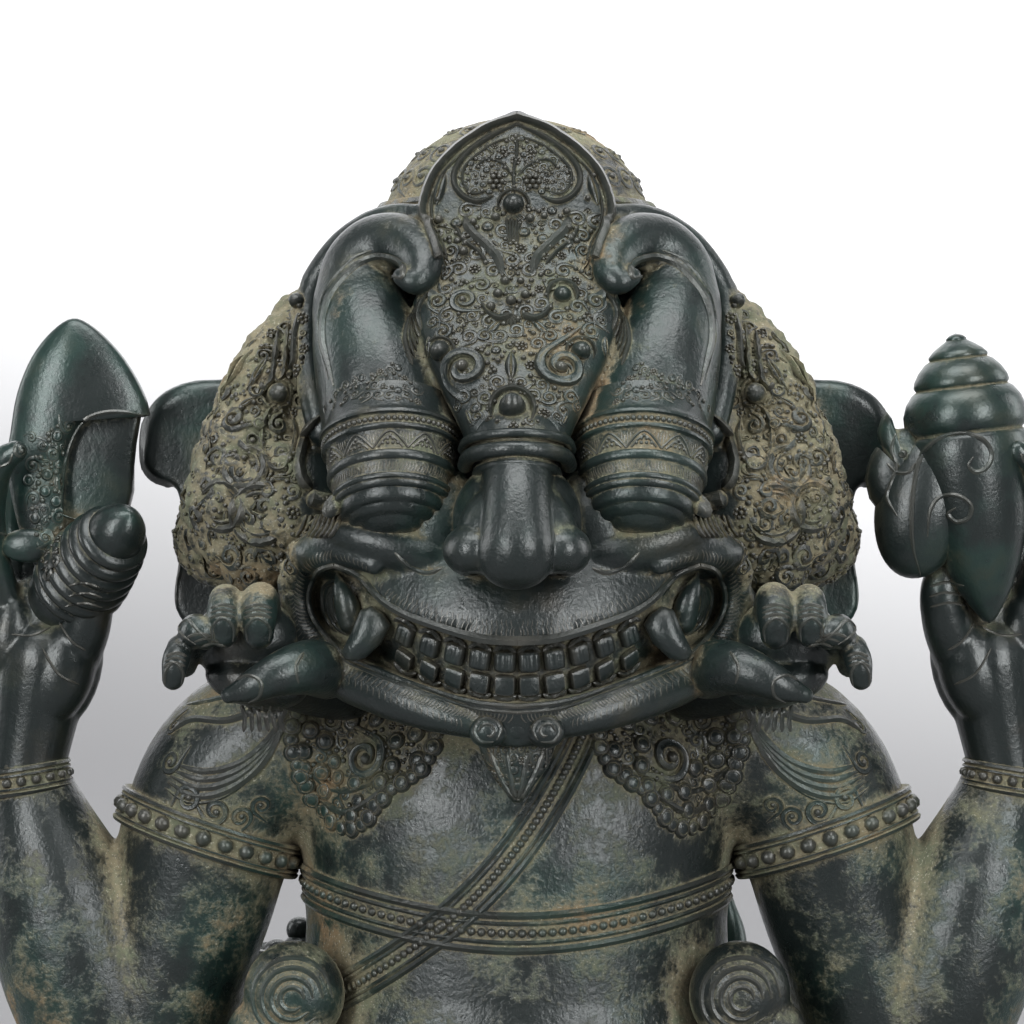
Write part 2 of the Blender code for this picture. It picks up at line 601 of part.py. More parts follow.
def stand_over_origin(pieces, all_placed):
    """Moves everything sideways, so that the middle of the pieces' box stands over the origin."""
    bpy.context.view_layer.update()
    graph = bpy.context.evaluated_depsgraph_get()
    corners = []
    for piece in pieces:
        shown = piece.evaluated_get(graph)
        corners += [shown.matrix_world @ Vector(corner) for corner in shown.bound_box]
    for axis in (0, 1):
        values = [corner[axis] for corner in corners]
        middle = (min(values) + max(values)) / 2
        for placed in all_placed:
            placed.location[axis] -= middle


def main():
    for obj in list(bpy.data.objects):
        bpy.data.objects.remove(obj)
    pieces = [figure(), lotus_base()]
    stand_over_origin(pieces, list(bpy.data.objects))


main()
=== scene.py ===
"""The looks of a four-armed bronze statue with a guardian face on its back, on a low lotus base.

Forms are modelled in parts, of which the figure's height has 970, up from its seat and across from its
middle. The guardian face looks along -Y and the elephant face along +Y.
"""

import math
import random

import bmesh
import bpy
from mathutils import Matrix, Vector, noise as soft_noise
from mathutils.bvhtree import BVHTree


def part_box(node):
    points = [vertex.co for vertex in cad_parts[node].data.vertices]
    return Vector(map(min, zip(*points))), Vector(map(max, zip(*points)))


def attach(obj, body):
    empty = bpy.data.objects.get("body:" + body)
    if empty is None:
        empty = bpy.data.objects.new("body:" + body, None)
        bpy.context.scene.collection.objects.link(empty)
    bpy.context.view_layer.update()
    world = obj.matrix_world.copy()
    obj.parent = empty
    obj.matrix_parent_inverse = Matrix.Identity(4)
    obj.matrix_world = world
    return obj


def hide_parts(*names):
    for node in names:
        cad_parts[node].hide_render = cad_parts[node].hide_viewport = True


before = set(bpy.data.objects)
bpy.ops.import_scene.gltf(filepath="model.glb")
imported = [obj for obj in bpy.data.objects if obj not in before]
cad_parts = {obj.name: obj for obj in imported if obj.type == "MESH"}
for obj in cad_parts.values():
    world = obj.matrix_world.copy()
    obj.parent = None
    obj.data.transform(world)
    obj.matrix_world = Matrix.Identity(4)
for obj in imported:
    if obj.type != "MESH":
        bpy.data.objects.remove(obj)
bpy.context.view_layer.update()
FIGURE_LOW, FIGURE_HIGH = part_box("ganesha_figure")
BASE_LOW, BASE_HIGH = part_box("lotus_base")

PARTS_HIGH = 970
PART = (FIGURE_HIGH.z - FIGURE_LOW.z) / PARTS_HIGH
SEAT_MIDDLE = 18
SEAT = Vector(((BASE_LOW.x + BASE_HIGH.x) / 2, (BASE_LOW.y + BASE_HIGH.y) / 2 - SEAT_MIDDLE * PART,
               FIGURE_LOW.z))
TO_FRAME = Matrix.Translation(SEAT) @ Matrix.Scale(PART, 4)

FACE_GRAIN = 2.5
BODY_GRAIN = 3.6
HAND_GRAIN = 2.4
FAR_OUT = 1200
MANE_FROM = 184
MANE_LOW = 552
CREASE_ANGLE = 50


# Modelling tools

def choose(*objects):
    """Selects these objects alone and makes the first active."""
    bpy.ops.object.select_all(action="DESELECT")
    for obj in objects:
        obj.select_set(True)
    bpy.context.view_layer.objects.active = objects[0]


def set_in_place(obj):
    """Takes an object's place, turn and size into its mesh."""
    choose(obj)
    bpy.ops.object.transform_apply(location=True, rotation=True, scale=True)
    return obj


def ball(centre, radii, turn=0.0, rings=16):
    """An ellipsoid, turned by degrees about the line of sight."""
    bpy.ops.mesh.primitive_uv_sphere_add(segments=2 * rings, ring_count=rings, radius=1, location=centre,
                                         rotation=(0, math.radians(turn), 0), scale=radii)
    bpy.ops.object.transform_apply(location=True, rotation=True, scale=True)
    return bpy.context.object


def roll(path, sides=16, cuts=6, round_ends=True):
    """A round roll through points (x, y, z, radius)."""
    curve = bpy.data.curves.new("roll", "CURVE")
    curve.dimensions = "3D"
    curve.bevel_depth = 1.0
    curve.bevel_resolution = sides // 2 - 2
    curve.resolution_u = cuts
    curve.use_fill_caps = True
    spline = curve.splines.new("BEZIER")
    spline.radius_interpolation = "CARDINAL"
    spline.bezier_points.add(len(path) - 1)
    for point, (x, y, z, radius) in zip(spline.bezier_points, path):
        point.co = (x, y, z)
        point.radius = radius
        point.handle_left_type = point.handle_right_type = "AUTO"
    tube = bpy.data.objects.new("roll", curve)
    bpy.context.scene.collection.objects.link(tube)
    choose(tube)
    bpy.ops.object.convert(target="MESH")
    tube = bpy.context.object
    if not round_ends:
        return tube
    ends = [ball(point[:3], (point[3],) * 3, rings=sides // 2) for point in (path[0], path[-1])]
    choose(tube, *ends)
    bpy.ops.object.join()
    return tube


def drawn(name, points, links):
    """A mesh object from points and the edges or faces that link them."""
    mesh = bpy.data.meshes.new(name)
    edges = [link for link in links if len(link) == 2]
    faces = [link for link in links if len(link) > 2]
    mesh.from_pydata(points, edges, faces)
    obj = bpy.data.objects.new(name, mesh)
    bpy.context.scene.collection.objects.link(obj)
    return obj


def close_up(obj):
    """Merges an object's doubles and turns its faces outwards."""
    choose(obj)
    bpy.ops.object.mode_set(mode="EDIT")
    bpy.ops.mesh.select_all(action="SELECT")
    bpy.ops.mesh.remove_doubles(threshold=0.01)
    bpy.ops.mesh.normals_make_consistent(inside=False)
    bpy.ops.object.mode_set(mode="OBJECT")
    return obj


def turned(profile, start, along, steps=48):
    """A form turned on the line from start along a direction, from points (distance, radius)."""
    points = [(radius, 0, distance) for distance, radius in profile]
    obj = drawn("turned", points, [(i, i + 1) for i in range(len(points) - 1)])
    choose(obj)
    bpy.ops.object.mode_set(mode="EDIT")
    bpy.ops.mesh.select_all(action="SELECT")
    bpy.ops.mesh.spin(steps=steps, angle=math.tau, center=(0, 0, 0), axis=(0, 0, 1))
    bpy.ops.object.mode_set(mode="OBJECT")
    close_up(obj)
    obj.matrix_world = Matrix.Translation(start) @ aim(along)
    return set_in_place(obj)


def aim(along):
    """The turn that points +Z along a direction."""
    return Vector(along).to_track_quat("Z", "Y").to_matrix().to_4x4()


def sleeve_faces(rows, sides):
    """The faces that join rows of points round and round, with a cap at each end."""
    faces = [tuple(range(sides))[::-1], tuple(range((rows - 1) * sides, rows * sides))]
    for i in range(rows - 1):
        for k in range(sides):
            m = (k + 1) % sides
            faces.append((i * sides + k, i * sides + m, (i + 1) * sides + m, (i + 1) * sides + k))
    return faces


def grid_faces(rows, count):
    """The faces of a sheet of rows of points."""
    faces = []
    for i in range(rows - 1):
        for k in range(count - 1):
            a = i * count + k
            faces.append((a, a + 1, a + count + 1, a + count))
    return faces


def loft(rings):
    """A closed form through rings of points."""
    points = [point for ring in rings for point in ring]
    return close_up(drawn("loft", points, sleeve_faces(len(rings), len(rings[0]))))


def column(rows, square=1.0, count=40):
    """An upright form from rows (z, half width, half depth, y of the middle). A lower square is boxier."""
    rings = []
    for z, half_width, half_depth, middle in rows:
        ring = []
        for i in range(count):
            turn = math.tau * i / count
            across = math.copysign(abs(math.cos(turn)) ** square, math.cos(turn))
            deep = math.copysign(abs(math.sin(turn)) ** square, math.sin(turn))
            ring.append((half_width * across, middle + half_depth * deep, z))
        rings.append(ring)
    return loft(rings)


def smooth_path(points, cuts):
    """Points with more set between them on a smooth curve through them all."""
    made = []
    for i in range(len(points) - 1):
        before = Vector(points[max(i - 1, 0)])
        here = Vector(points[i])
        there = Vector(points[i + 1])
        after = Vector(points[min(i + 2, len(points) - 1)])
        for step in range(cuts):
            t = step / cuts
            made.append(0.5 * ((2 * here) + (there - before) * t
                               + (2 * before - 5 * here + 4 * there - after) * t * t
                               + (3 * here - 3 * there + after - before) * t ** 3))
    made.append(Vector(points[-1]))
    return made


def smooth_line(points, cuts):
    """Flat points with more set between them on a smooth curve through them all."""
    return [(spot.x, spot.y) for spot in smooth_path([(a, b, 0) for a, b in points], cuts)]


def arc(middle, reach, angles):
    """Flat points round a middle, at angles in radians."""
    return [(middle[0] + reach * math.cos(a), middle[1] + reach * math.sin(a)) for a in angles]


def shield(outline, centre, rim, crown, back, shares=(1.0, 0.985, 0.95, 0.88, 0.75, 0.58, 0.38, 0.16)):
    """A board with an outline of points (x, z), flat behind, that swells from rim to crown at its centre."""
    rings = [[(x, back, z) for x, z in outline]]
    cx, cz = centre
    for share in shares:
        depth = rim + (crown - rim) * math.sqrt(1 - share * share)
        rings.append([(cx + share * (x - cx), depth, cz + share * (z - cz)) for x, z in outline])
    return loft(rings)


def both(*objects):
    """These objects and their mirror images across the middle."""
    made = list(objects)
    for obj in objects:
        twin = obj.copy()
        twin.data = obj.data.copy()
        twin.data.transform(Matrix.Scale(-1, 4, (1, 0, 0)))
        twin.data.flip_normals()
        bpy.context.scene.collection.objects.link(twin)
        made.append(twin)
    return made


def joined(name, objects):
    """One object of many."""
    choose(*objects)
    if len(objects) > 1:
        bpy.ops.object.join()
    piece = bpy.context.object
    piece.name = name
    piece.data.name = name
    return piece


def apply(piece, kind, **settings):
    """Adds a modifier with settings and applies it."""
    modifier = piece.modifiers.new(kind.lower(), kind)
    for key, value in settings.items():
        setattr(modifier, key, value)
    choose(piece)
    bpy.ops.object.modifier_apply(modifier=modifier.name)


def fused(name, lumps, grain, ease=3):
    """One skin over many lumps, eased where they meet."""
    piece = joined(name, lumps)
    apply(piece, "REMESH", mode="VOXEL", voxel_size=grain)
    apply(piece, "SMOOTH", factor=0.5, iterations=ease)
    return piece


# Relief laid on a surface

def from_front(x, z):
    """A way in from the guardian's side."""
    return Vector((x, -FAR_OUT, z)), Vector((0, 1, 0))


def from_back(x, z):
    """A way in from the elephant's side."""
    return Vector((x, FAR_OUT, z)), Vector((0, -1, 0))


def round_line(start, along):
    """A way in towards a line, by angle in degrees from +X and by distance along it."""
    turn = aim(along)
    start = Vector(start)

    def way_in(degrees, distance):
        angle = math.radians(degrees)
        out = turn @ Vector((math.cos(angle), math.sin(angle), 0))
        return start + turn @ Vector((0, 0, distance)) + out * 400, -out

    return way_in


class Ground:
    """The skin of finished pieces, which relief is laid on."""

    def __init__(self, *pieces):
        shape = bmesh.new()
        for piece in pieces:
            shape.from_mesh(piece.data)
        self.tree = BVHTree.FromBMesh(shape)
        shape.free()

    def at(self, way):
        """Where a way in meets the skin, and the way out from there."""
        origin, direction = way
        hit, normal = self.tree.ray_cast(origin, direction)[:2]
        if hit is None:
            hit, normal = self.tree.find_nearest(origin + direction * 1050)[:2]
            spot = origin + direction * (hit - origin).dot(direction)
            return spot, -direction
        out = (normal * 0.6 - direction).normalized()
        return hit, out


class Relief:
    """Many small raised shapes gathered into one mesh."""

    def __init__(self, ground=None, chart=from_front, bold=1.0):
        self.ground = ground
        self.chart = chart
        self.bold = bold
        self.points = []
        self.faces = []

    def add(self, points, faces):
        first = len(self.points)
        self.points.extend(points)
        self.faces.extend([tuple(first + i for i in face) for face in faces])

    def lay(self, motif, u, v, size, turn=0.0, flip=False, lift=0.0, stretch=1.0):
        """A motif of points (across, up, out) laid on the skin round the spot at (u, v)."""
        points, faces = motif
        way = self.chart(u, v)
        centre, out = self.ground.at(way)
        up = self.chart(u, v + 1)[0] - way[0]
        up = (up - out * up.dot(out)).normalized()
        across = up.cross(out)
        if across.dot(self.chart(u + 1, v)[0] - way[0]) < 0:
            across = -across
        cosine = math.cos(math.radians(turn))
        sine = math.sin(math.radians(turn))
        side = -size * stretch if flip else size * stretch
        made = []
        for a, b, c in points:
            a *= side
            b *= size
            spot = centre + across * (a * cosine - b * sine) + up * (a * sine + b * cosine)
            near, normal = self.ground.tree.find_nearest(spot)[:2]
            made.append(near + (normal * 0.4 + out).normalized() * (c * size * self.bold + lift))
        self.add(made, faces)

    def ridge(self, path, radius, sides=6, cuts=5, lift=0.0, taper=True, flat=1.0):
        """A raised line laid on the ground through points (u, v)."""
        spots = [self.ground.at(self.chart(u, v)) for u, v in smooth_line(path, cuts)]
        self.tube([spot + out * lift for spot, out in spots], [out for spot, out in spots], radius, sides,
                  taper,
                  flat * self.bold)

    def tube(self, line, outs, radius, sides=6, taper=True, flat=1.0):
        """A round or flattened tube along a line of points, each with its way out."""
        count = len(line)
        points = []
        for i, spot in enumerate(line):
            ahead = line[min(i + 1, count - 1)] - line[max(i - 1, 0)]
            out = outs[i]
            across = ahead.cross(out)
            across = across.normalized() if across.length > 1e-6 else Vector((1, 0, 0))
            out = across.cross(ahead).normalized() if ahead.length > 1e-6 else out
            share = i / (count - 1)
            size = radius(share) if callable(radius) else radius
            if taper:
                size *= min(1.0, 0.25 + 5 * share, 0.25 + 5 * (1 - share))
            for k in range(sides):
                turn = math.tau * (k + 0.5) / sides
                points.append(spot + across * (size * math.cos(turn)) + out * (size * flat * math.sin(turn)))
        self.add(points, [face[::-1] for face in sleeve_faces(count, sides)])

    def mirror(self):
        """Adds the mirror image of all so far."""
        points = [Vector((-p.x, p.y, p.z)) for p in self.points]
        self.add(points, [face[::-1] for face in list(self.faces)])

    def finish(self, name):
        obj = drawn(name, [tuple(p) for p in self.points], self.faces)
        choose(obj)
        bpy.ops.object.mode_set(mode="EDIT")
        bpy.ops.mesh.select_all(action="SELECT")
        bpy.ops.mesh.normals_make_consistent(inside=False)
        bpy.ops.object.mode_set(mode="OBJECT")
        return obj


# Motifs, in units of their own size: across, up and out

def tube_motif(line, radius, sides=6, groove=0.0):
    """A flat line of (across, up) as a raised tube with a groove along its top."""
    count = len(line)
    points = []
    for i, (across, up) in enumerate(line):
        ahead = (line[min(i + 1, count - 1)][0] - line[max(i - 1, 0)][0],
                 line[min(i + 1, count - 1)][1] - line[max(i - 1, 0)][1])
        length = math.hypot(*ahead) or 1
        side = (ahead[1] / length, -ahead[0] / length)
        size = radius(i / (count - 1))
        for k in range(sides):
            turn = math.tau * (k + 0.5) / sides
            out = math.sin(turn)
            if groove and out > 0:
                out *= 1 - groove * (1 - abs(math.cos(turn)))
            points.append((across + side[0] * size * math.cos(turn), up + side[1] * size * math.cos(turn),
                           size * out))
    return points, sleeve_faces(count, sides)


def merged(*motifs):
    """One motif of several."""
    points = []
    faces = []
    for more_points, more_faces in motifs:
        first = len(points)
        points += more_points
        faces += [tuple(first + i for i in face) for face in more_faces]
    return points, faces


def bead_motif(across=0.0, up=0.0, size=1.0, rings=5, out=0.0, tall=1.0):
    """A bead."""
    segments = 2 * rings - 2
    points = [(across, up, out + size * tall)]
    for i in range(1, rings):
        polar = math.pi * i / rings
        for k in range(segments):
            turn = math.tau * k / segments
            points.append((across + size * math.sin(polar) * math.cos(turn),
                           up + size * math.sin(polar) * math.sin(turn), out + size * tall * math.cos(polar)))
    points.append((across, up, out - size * tall))
    last = len(points) - 1
    faces = []
    for k in range(segments):
        m = (k + 1) % segments
        faces.append((0, 1 + k, 1 + m))
        faces.append((last, last - segments + m, last - segments + k))
        for i in range(rings - 2):
            a = 1 + i * segments
            faces.append((a + k, a + segments + k, a + segments + m, a + m))
    return points, faces


def curl_motif(turns=1.35, steps=20, thick=0.2, sides=8, groove=0.5, tail=0.7):
    """A scroll that winds in to a bead, with a tail that sweeps away from its outer end."""
    line = []
    for i in range(4):
        share = 1 - i / 4
        line.append((1 + 0.25 * share * tail, -1.5 * share * tail))
    for i in range(steps + 1):
        share = i / steps
        reach = 1 - 0.72 * share
        turn = math.tau * turns * share
        line.append((reach * math.cos(turn), reach * math.sin(turn)))
    scroll = tube_motif(line, lambda s: thick * min(1, 0.25 + 3.2 * s) * (1 - 0.35 * s), sides, groove)
    end = line[-1]
    return merged(scroll, bead_motif(end[0] * 0.5, end[1] * 0.5, 0.29, rings=5))


def leaf_motif(wide=0.45, tall=0.28, ribs=0.5, rows=7, count=9):
    """A pointed leaf with a groove down its middle, its stem at the bottom."""
    points = []
    for i in range(rows + 1):
        share = i / rows
        half = wide * math.sin(math.pi * min(1, share * 0.93 + 0.07)) ** 0.8
        for k in range(count):
            side = 2 * k / (count - 1) - 1
            crown = 1 - side * side
            out = tall * math.sin(math.pi * min(1, share * 0.9 + 0.1)) ** 0.6 * crown ** 0.5
            out *= 1 - ribs * max(0, 1 - abs(side) * 3.2)
            points.append((half * side, 2 * share - 1, out - 0.06))
    return points, grid_faces(rows + 1, count)


def lobe_motif():
    """Three round lobes set like a clover."""
    return merged(bead_motif(-0.55, 0, 0.5, tall=0.7), bead_motif(0.55, 0, 0.5, tall=0.7),
                  bead_motif(0, 0.62, 0.55, tall=0.8))


def flower_motif(petals=7):
    """A rosette of petals round a bead."""
    shapes = [bead_motif(0, 0, 0.36, tall=1.1)]
    for i in range(petals):
        turn = math.tau * i / petals
        shapes.append(bead_motif(0.68 * math.cos(turn), 0.68 * math.sin(turn), 0.33, rings=4, tall=0.8))
    return merged(*shapes)


def puff_motif():
    """A low round lobe like a cloud's, with a second contour on it."""
    ring = [(0.66 * math.cos(math.tau * i / 14), 0.66 * math.sin(math.tau * i / 14)) for i in range(15)]
    points, faces = tube_motif(ring, lambda s: 0.09, 5)
    return merged(bead_motif(rings=8, tall=0.42), ([(a, b, c + 0.33) for a, b, c in points], faces))


def stroke_motif(bend=0.25, thick=0.14):
    """A short stroke of hair."""
    line = [(bend * math.sin(math.pi * s), 2 * s - 1) for s in (0, 0.2, 0.4, 0.6, 0.8, 1)]
    return tube_motif(line, lambda s: thick * (0.15 + math.sin(math.pi * min(1, max(0, s))) * 0.85), 4)


CURL = curl_motif()
HEAVY_CURL = curl_motif(turns=1.3, steps=26, thick=0.29, sides=10, groove=0.5, tail=1.1)
MID_CURL = curl_motif(turns=1.2, steps=14, thick=0.31, sides=7, groove=0.4, tail=0.9)
PUFF = puff_motif()
SMALL_CURL = curl_motif(turns=1.15, steps=12, thick=0.24, sides=6, groove=0.0, tail=0.5)
LEAF = leaf_motif()
LOBES = lobe_motif()
FLOWER = flower_motif()
BEAD = bead_motif()
FINE_BEAD = bead_motif(rings=8)
STROKE = stroke_motif()


def inside(point, outline):
    """Whether a point lies in an outline."""
    x, z = point
    within = False
    for (x1, z1), (x2, z2) in zip(outline, outline[1:] + outline[:1]):
        if (z1 > z) != (z2 > z) and x < (x2 - x1) * (z - z1) / (z2 - z1) + x1:
            within = not within
    return within


def scattered(outline, sizes, taken, chance, closeness=0.8, tries=500):
    """Seeded places (u, v, size) in an outline that keep clear of those taken, the larger sizes first."""
    low_u = min(u for u, v in outline)
    high_u = max(u for u, v in outline)
    low_v = min(v for u, v in outline)
    high_v = max(v for u, v in outline)
    made = []
    for size in sizes:
        for _ in range(tries):
            u = chance.uniform(low_u, high_u)
            v = chance.uniform(low_v, high_v)
            if not inside((u, v), outline):
                continue
            reach = size * closeness
            if any((u - a) ** 2 + (v - b) ** 2 < (reach + other * closeness) ** 2 for a, b, other in taken):
                continue
            taken.append((u, v, size))
            made.append((u, v, size))
    return made


def carve(relief, outline, chance, taken=(), big=(15, 12), small=(8, 6), crumbs=(3.6,), near=0.66):
    """Fills an outline with scrolls, leaves, rosettes and beads of several sizes."""
    taken = list(taken)
    for u, v, size in scattered(outline, big, taken, chance, near, 400):
        motif = chance.choice((MID_CURL, MID_CURL, MID_CURL, PUFF, FLOWER))
        relief.lay(motif, u, v, size * (0.8 if motif is MID_CURL else 0.62), chance.uniform(0, 360),
                   chance.random() < 0.5)
    for u, v, size in scattered(outline, small, taken, chance, near, 900):
        motif = chance.choice((MID_CURL, SMALL_CURL, LEAF, LOBES))
        relief.lay(motif, u, v, size * 0.82, chance.uniform(0, 360), chance.random() < 0.5)
    for u, v, size in scattered(outline, crumbs, taken, chance, near, 1100):
        relief.lay(BEAD, u, v, size * 0.85)


def roughened(obj, amount, grain, wanted):
    """Moves the skin in and out like a worn casting where wanted(place) is over 0."""
    outs = [vertex.normal.copy() for vertex in obj.data.vertices]
    for vertex, out in zip(obj.data.vertices, outs):
        share = wanted(vertex.co)
        if share > 0:
            vertex.co += out * (amount * share * soft_noise.fractal(vertex.co / grain, 1.0, 2.0, 3))
    obj.data.update()


# The guardian's head

HORN = [(106, -200, 688, 56), (119, -190, 732, 51), (129, -168, 774, 45), (135, -146, 808, 38),
        (130, -140, 837, 31),
        (110, -150, 851, 26), (90, -170, 846, 22), (79, -192, 829, 18), (87, -207, 815, 12),
        (97, -205, 819, 8)]
HORN_FOLD = [(166, -150, 690, 13), (178, -132, 740, 13), (182, -118, 772, 13), (178, -104, 808, 13),
             (162, -102, 838, 13), (138, -108, 861, 13), (108, -122, 874, 12), (80, -138, 876, 9)]
HORN_LINE = [(107, 820), (97, 818), (96, 828), (104, 835), (119, 838), (135, 831), (148, 818), (158, 803),
             (163, 784),
             (163, 765), (158, 746), (153, 727)]
MANE_EDGE = [(0, 872), (120, 868), (160, 848), (184, 816), (207, 788), (232, 762), (250, 738), (264, 708),
             (273, 680), (281, 650), (295, 622), (303, 602), (298, 577), (280, 560), (245, 548), (195, 540),
             (130, 500), (0, 480)]
PLAQUE_ROWS = [(966, 4, -128), (957, 24, -131), (945, 44, -136), (930, 60, -142), (912, 73, -149),
               (895, 80, -156),
               (878, 83, -162), (864, 81, -168), (850, 76, -175), (836, 74, -182), (815, 80, -194),
               (798, 88, -204),
               (772, 84, -218), (745, 74, -234), (715, 60, -250), (692, 48, -262), (668, 38, -268)]
MUZZLE_ROWS = [(428, 24, 60, -215), (440, 62, 110, -170), (455, 92, 150, -135), (475, 128, 190, -98),
               (495, 154, 203, -88), (515, 174, 205, -88), (540, 189, 200, -90), (560, 195, 190, -92),
               (580, 194, 180, -92), (600, 184, 168, -90), (620, 168, 146, -86)]
MOUTH = [(0, 516), (24, 517), (44, 521), (70, 529), (95, 538), (113, 549), (126, 563), (138, 572), (152, 577),
         (165, 573), (174, 560), (176, 544), (170, 528), (157, 513), (142, 501), (124, 493), (100, 484),
         (70, 474),
         (35, 465), (0, 462)]
JAW_ROLL = [(118, -250, 577, 8), (140, -236, 587, 12), (161, -216, 593, 14), (180, -190, 581, 14),
            (187, -172, 556, 14), (183, -170, 532, 15), (170, -180, 508, 18), (148, -196, 489, 22),
            (118, -222, 474, 21), (85, -246, 461, 18), (50, -262, 450, 14), (20, -266, 442, 10)]
EYE_START = (105, -218, 685)
EYE_WAY = (-0.03, -0.4, -0.917)


def whole(half):
    """A whole outline from the points of its right half, listed from the top down."""
    return half + [(-x, z) for x, z in half[::-1] if x > 0]


def reach_to(point, outline):
    """The distance from a point to an outline."""
    nearest = 1e9
    for (x1, z1), (x2, z2) in zip(outline, outline[1:] + outline[:1]):
        run = (x2 - x1) ** 2 + (z2 - z1) ** 2
        share = ((point[0] - x1) * (x2 - x1) + (point[1] - z1) * (z2 - z1)) / run if run else 0
        share = max(0, min(1, share))
        nearest = min(nearest, math.hypot(point[0] - x1 - share * (x2 - x1),
                                          point[1] - z1 - share * (z2 - z1)))
    return nearest


def sink(skin, outline, depth, wall, front=-120):
    """Presses the front of a skin back inside an outline, down a steep wall."""
    low = min(z for x, z in outline)
    high = max(z for x, z in outline)
    for vertex in skin.data.vertices:
        x, y, z = vertex.co
        if y < front and low < z < high and inside((x, z), outline):
            vertex.co.y += depth * min(1.0, reach_to((x, z), outline) / wall)


def head_mass():
    """The skin of the guardian's head: skull, mane, plaque, horns, cheeks and jaw."""
    lumps = [ball((0, 10, 745), (172, 160, 165)), ball((0, -62, 640), (185, 120, 130))]
    lumps.append(column(MUZZLE_ROWS, count=72))
    lumps.append(shield(whole(MANE_EDGE), (0, 680), -40, -165, 12))
    lumps.append(column([(z, half, 18 + (966 - z) * 0.06, front + 18) for z, half,
                         front in PLAQUE_ROWS[::-1]], 0.7))
    lumps += both(roll(HORN, 24), roll(HORN_FOLD), roll(JAW_ROLL), ball((92, -204, 590), (84, 62, 30), -14),
                  ball((140, -195, 582), (52, 44, 22), -8), ball((190, -124, 625), (58, 52, 62)),
                  roll([(188, -72, 800, 16), (202, -78, 772, 26), (214, -88, 738, 36), (222, -92, 700, 44),
                        (232, -96, 655, 50), (240, -98, 615, 46), (222, -112, 580, 32)], 24),
                  ball((64, -226, 616), (36, 36, 46)), ball((150, -182, 494), (40, 46, 26)))
    return fused("guardian_head", lumps, FACE_GRAIN)


def nose():
    """A broad nose with round wings, nostrils, and three rings over its bridge."""
    lumps = [roll([(0, -262, 670, 30), (0, -284, 650, 29), (0, -302, 630, 29), (0, -314, 608, 30),
                   (0, -320, 592, 31)],
                  24), ball((0, -250, 682), (43, 42, 28), rings=20),
             ball((0, -256, 614), (54, 46, 52), rings=24),
             ball((-1, -318, 588), (33, 31, 30), rings=24)]
    lumps += both(ball((36, -300, 590), (25, 31, 22), rings=24),
                  ball((24, -290, 610), (24, 30, 34), -24, rings=20))
    skin = fused("nose", lumps, 1.8, 8)
    for side in (1, -1):
        nostril = [(side * (35 + 10 * math.cos(a * 0.6)), 567.5 + 6 * math.sin(a * 0.6)) for a in range(10)]
        sink(skin, nostril, 30, 3.5, -290)
    rings = []
    for half, low, high, front, thick in ((45, 673, 686, -300, 4.2), (43, 660, 673, -305, 6.6),
                                          (33, 652, 660, -309, 4.6)):
        path = []
        for i in range(9):
            turn = math.pi * i / 8
            rise = low + (high - low) * math.sin(turn) ** 0.7
            path.append((-half * math.cos(turn), -252 + (front + 252) * math.sin(turn), rise, thick))
        rings.append(roll(path, 14, 4))
    return [skin, *rings]


def eye():
    """One eye: a banded socket and the stepped ball that looks down from it."""
    profile = [(-30, 0), (-28, 50), (-4, 56), (0, 58.5), (2, 60.5), (4.5, 60.5), (5.5, 58), (6, 57),
               (13, 56.5),
               (13.5, 58), (15, 59), (17, 58.5), (18, 56), (18.5, 55), (35, 51.5), (35.5, 53), (37, 54.5),
               (41, 54.5),
               (43, 53.5), (44, 51), (54.5, 48.5), (55, 50), (56.5, 51), (59, 50.5), (60, 48.5), (60.8, 48.3),
               (61.5, 49.5), (64, 49), (65.3, 47), (65.8, 44.8), (70, 44.6), (74, 43), (75.5, 41.5),
               (76, 37.5),
               (77, 36.8), (80, 35.3), (82.2, 32), (82.8, 27), (83.5, 26), (86.5, 23), (89.5, 16), (91, 8),
               (91.6, 0)]
    return turned(profile, EYE_START, EYE_WAY, 80)


def eye_bands(ground):
    """The beads, triangles and hatching round the socket of one eye."""
    bands = Relief(ground, round_line(EYE_START, EYE_WAY))
    for i in range(52):
        bands.lay(BEAD, -40 + 5 * i, 9.5, 2.5)
    for i in range(9):
        start = -58 + 32 * i
        for inset in (0, 4.5):
            bands.ridge([(start + inset, 33.5 - inset * 0.12), (start + 16, 20 + inset),
                         (start + 32 - inset, 33.5)], 1.1,
                        sides=5, cuts=5, taper=False)
        for row, count in ((30, 4), (26.5, 2), (24, 1)):
            for k in range(count):
                bands.lay(BEAD, start + 16 + 4.6 * (k - (count - 1) / 2), row, 1.7)
        for k in range(6):
            drop = 12 - 4 * abs(k - 2.5)
            bands.ridge([(start + 25 + 2.6 * k, 20.5), (start + 25.6 + 2.6 * k, 20.5 + drop)], 0.8, sides=4,
                        cuts=2)
    for i in range(80):
        bands.lay(STROKE, -40 + 3.25 * i, 49.2, 4.4, 14)
    return bands


def tooth_motif(fluted):
    """A squarish tooth: the upper ones are fluted, the lower ones have a raised rim."""
    count = 13
    points = []
    for i in range(count):
        for k in range(count):
            across = 2 * k / (count - 1) - 1
            up = 2 * i / (count - 1) - 1
            edge = max(abs(across), abs(up))
            out = 0.72 * ((1 - across ** 6) * (1 - up ** 6)) ** 0.5
            if fluted:
                out += 0.07 * math.cos(3.5 * math.pi * across) * (1 - up * up)
            elif 0.7 < max(abs(across), -up) < 0.95:
                out += 0.1
            squeeze = 1 - 0.1 * up * up
            points.append((across * squeeze, up * (1 - 0.1 * across * across), out if edge < 1 else -0.35))
    faces = grid_faces(count, count)
    rim = list(range(count)) + [count * i - 1 for i in range(2, count + 1)]
    rim += [count * count - 1 - i for i in range(1, count)] + [count * i for i in range(count - 2, 0, -1)]
    faces.append(tuple(rim[::-1]))
    return points, faces


UPPER_TOOTH = tooth_motif(True)
LOWER_TOOTH = tooth_motif(False)


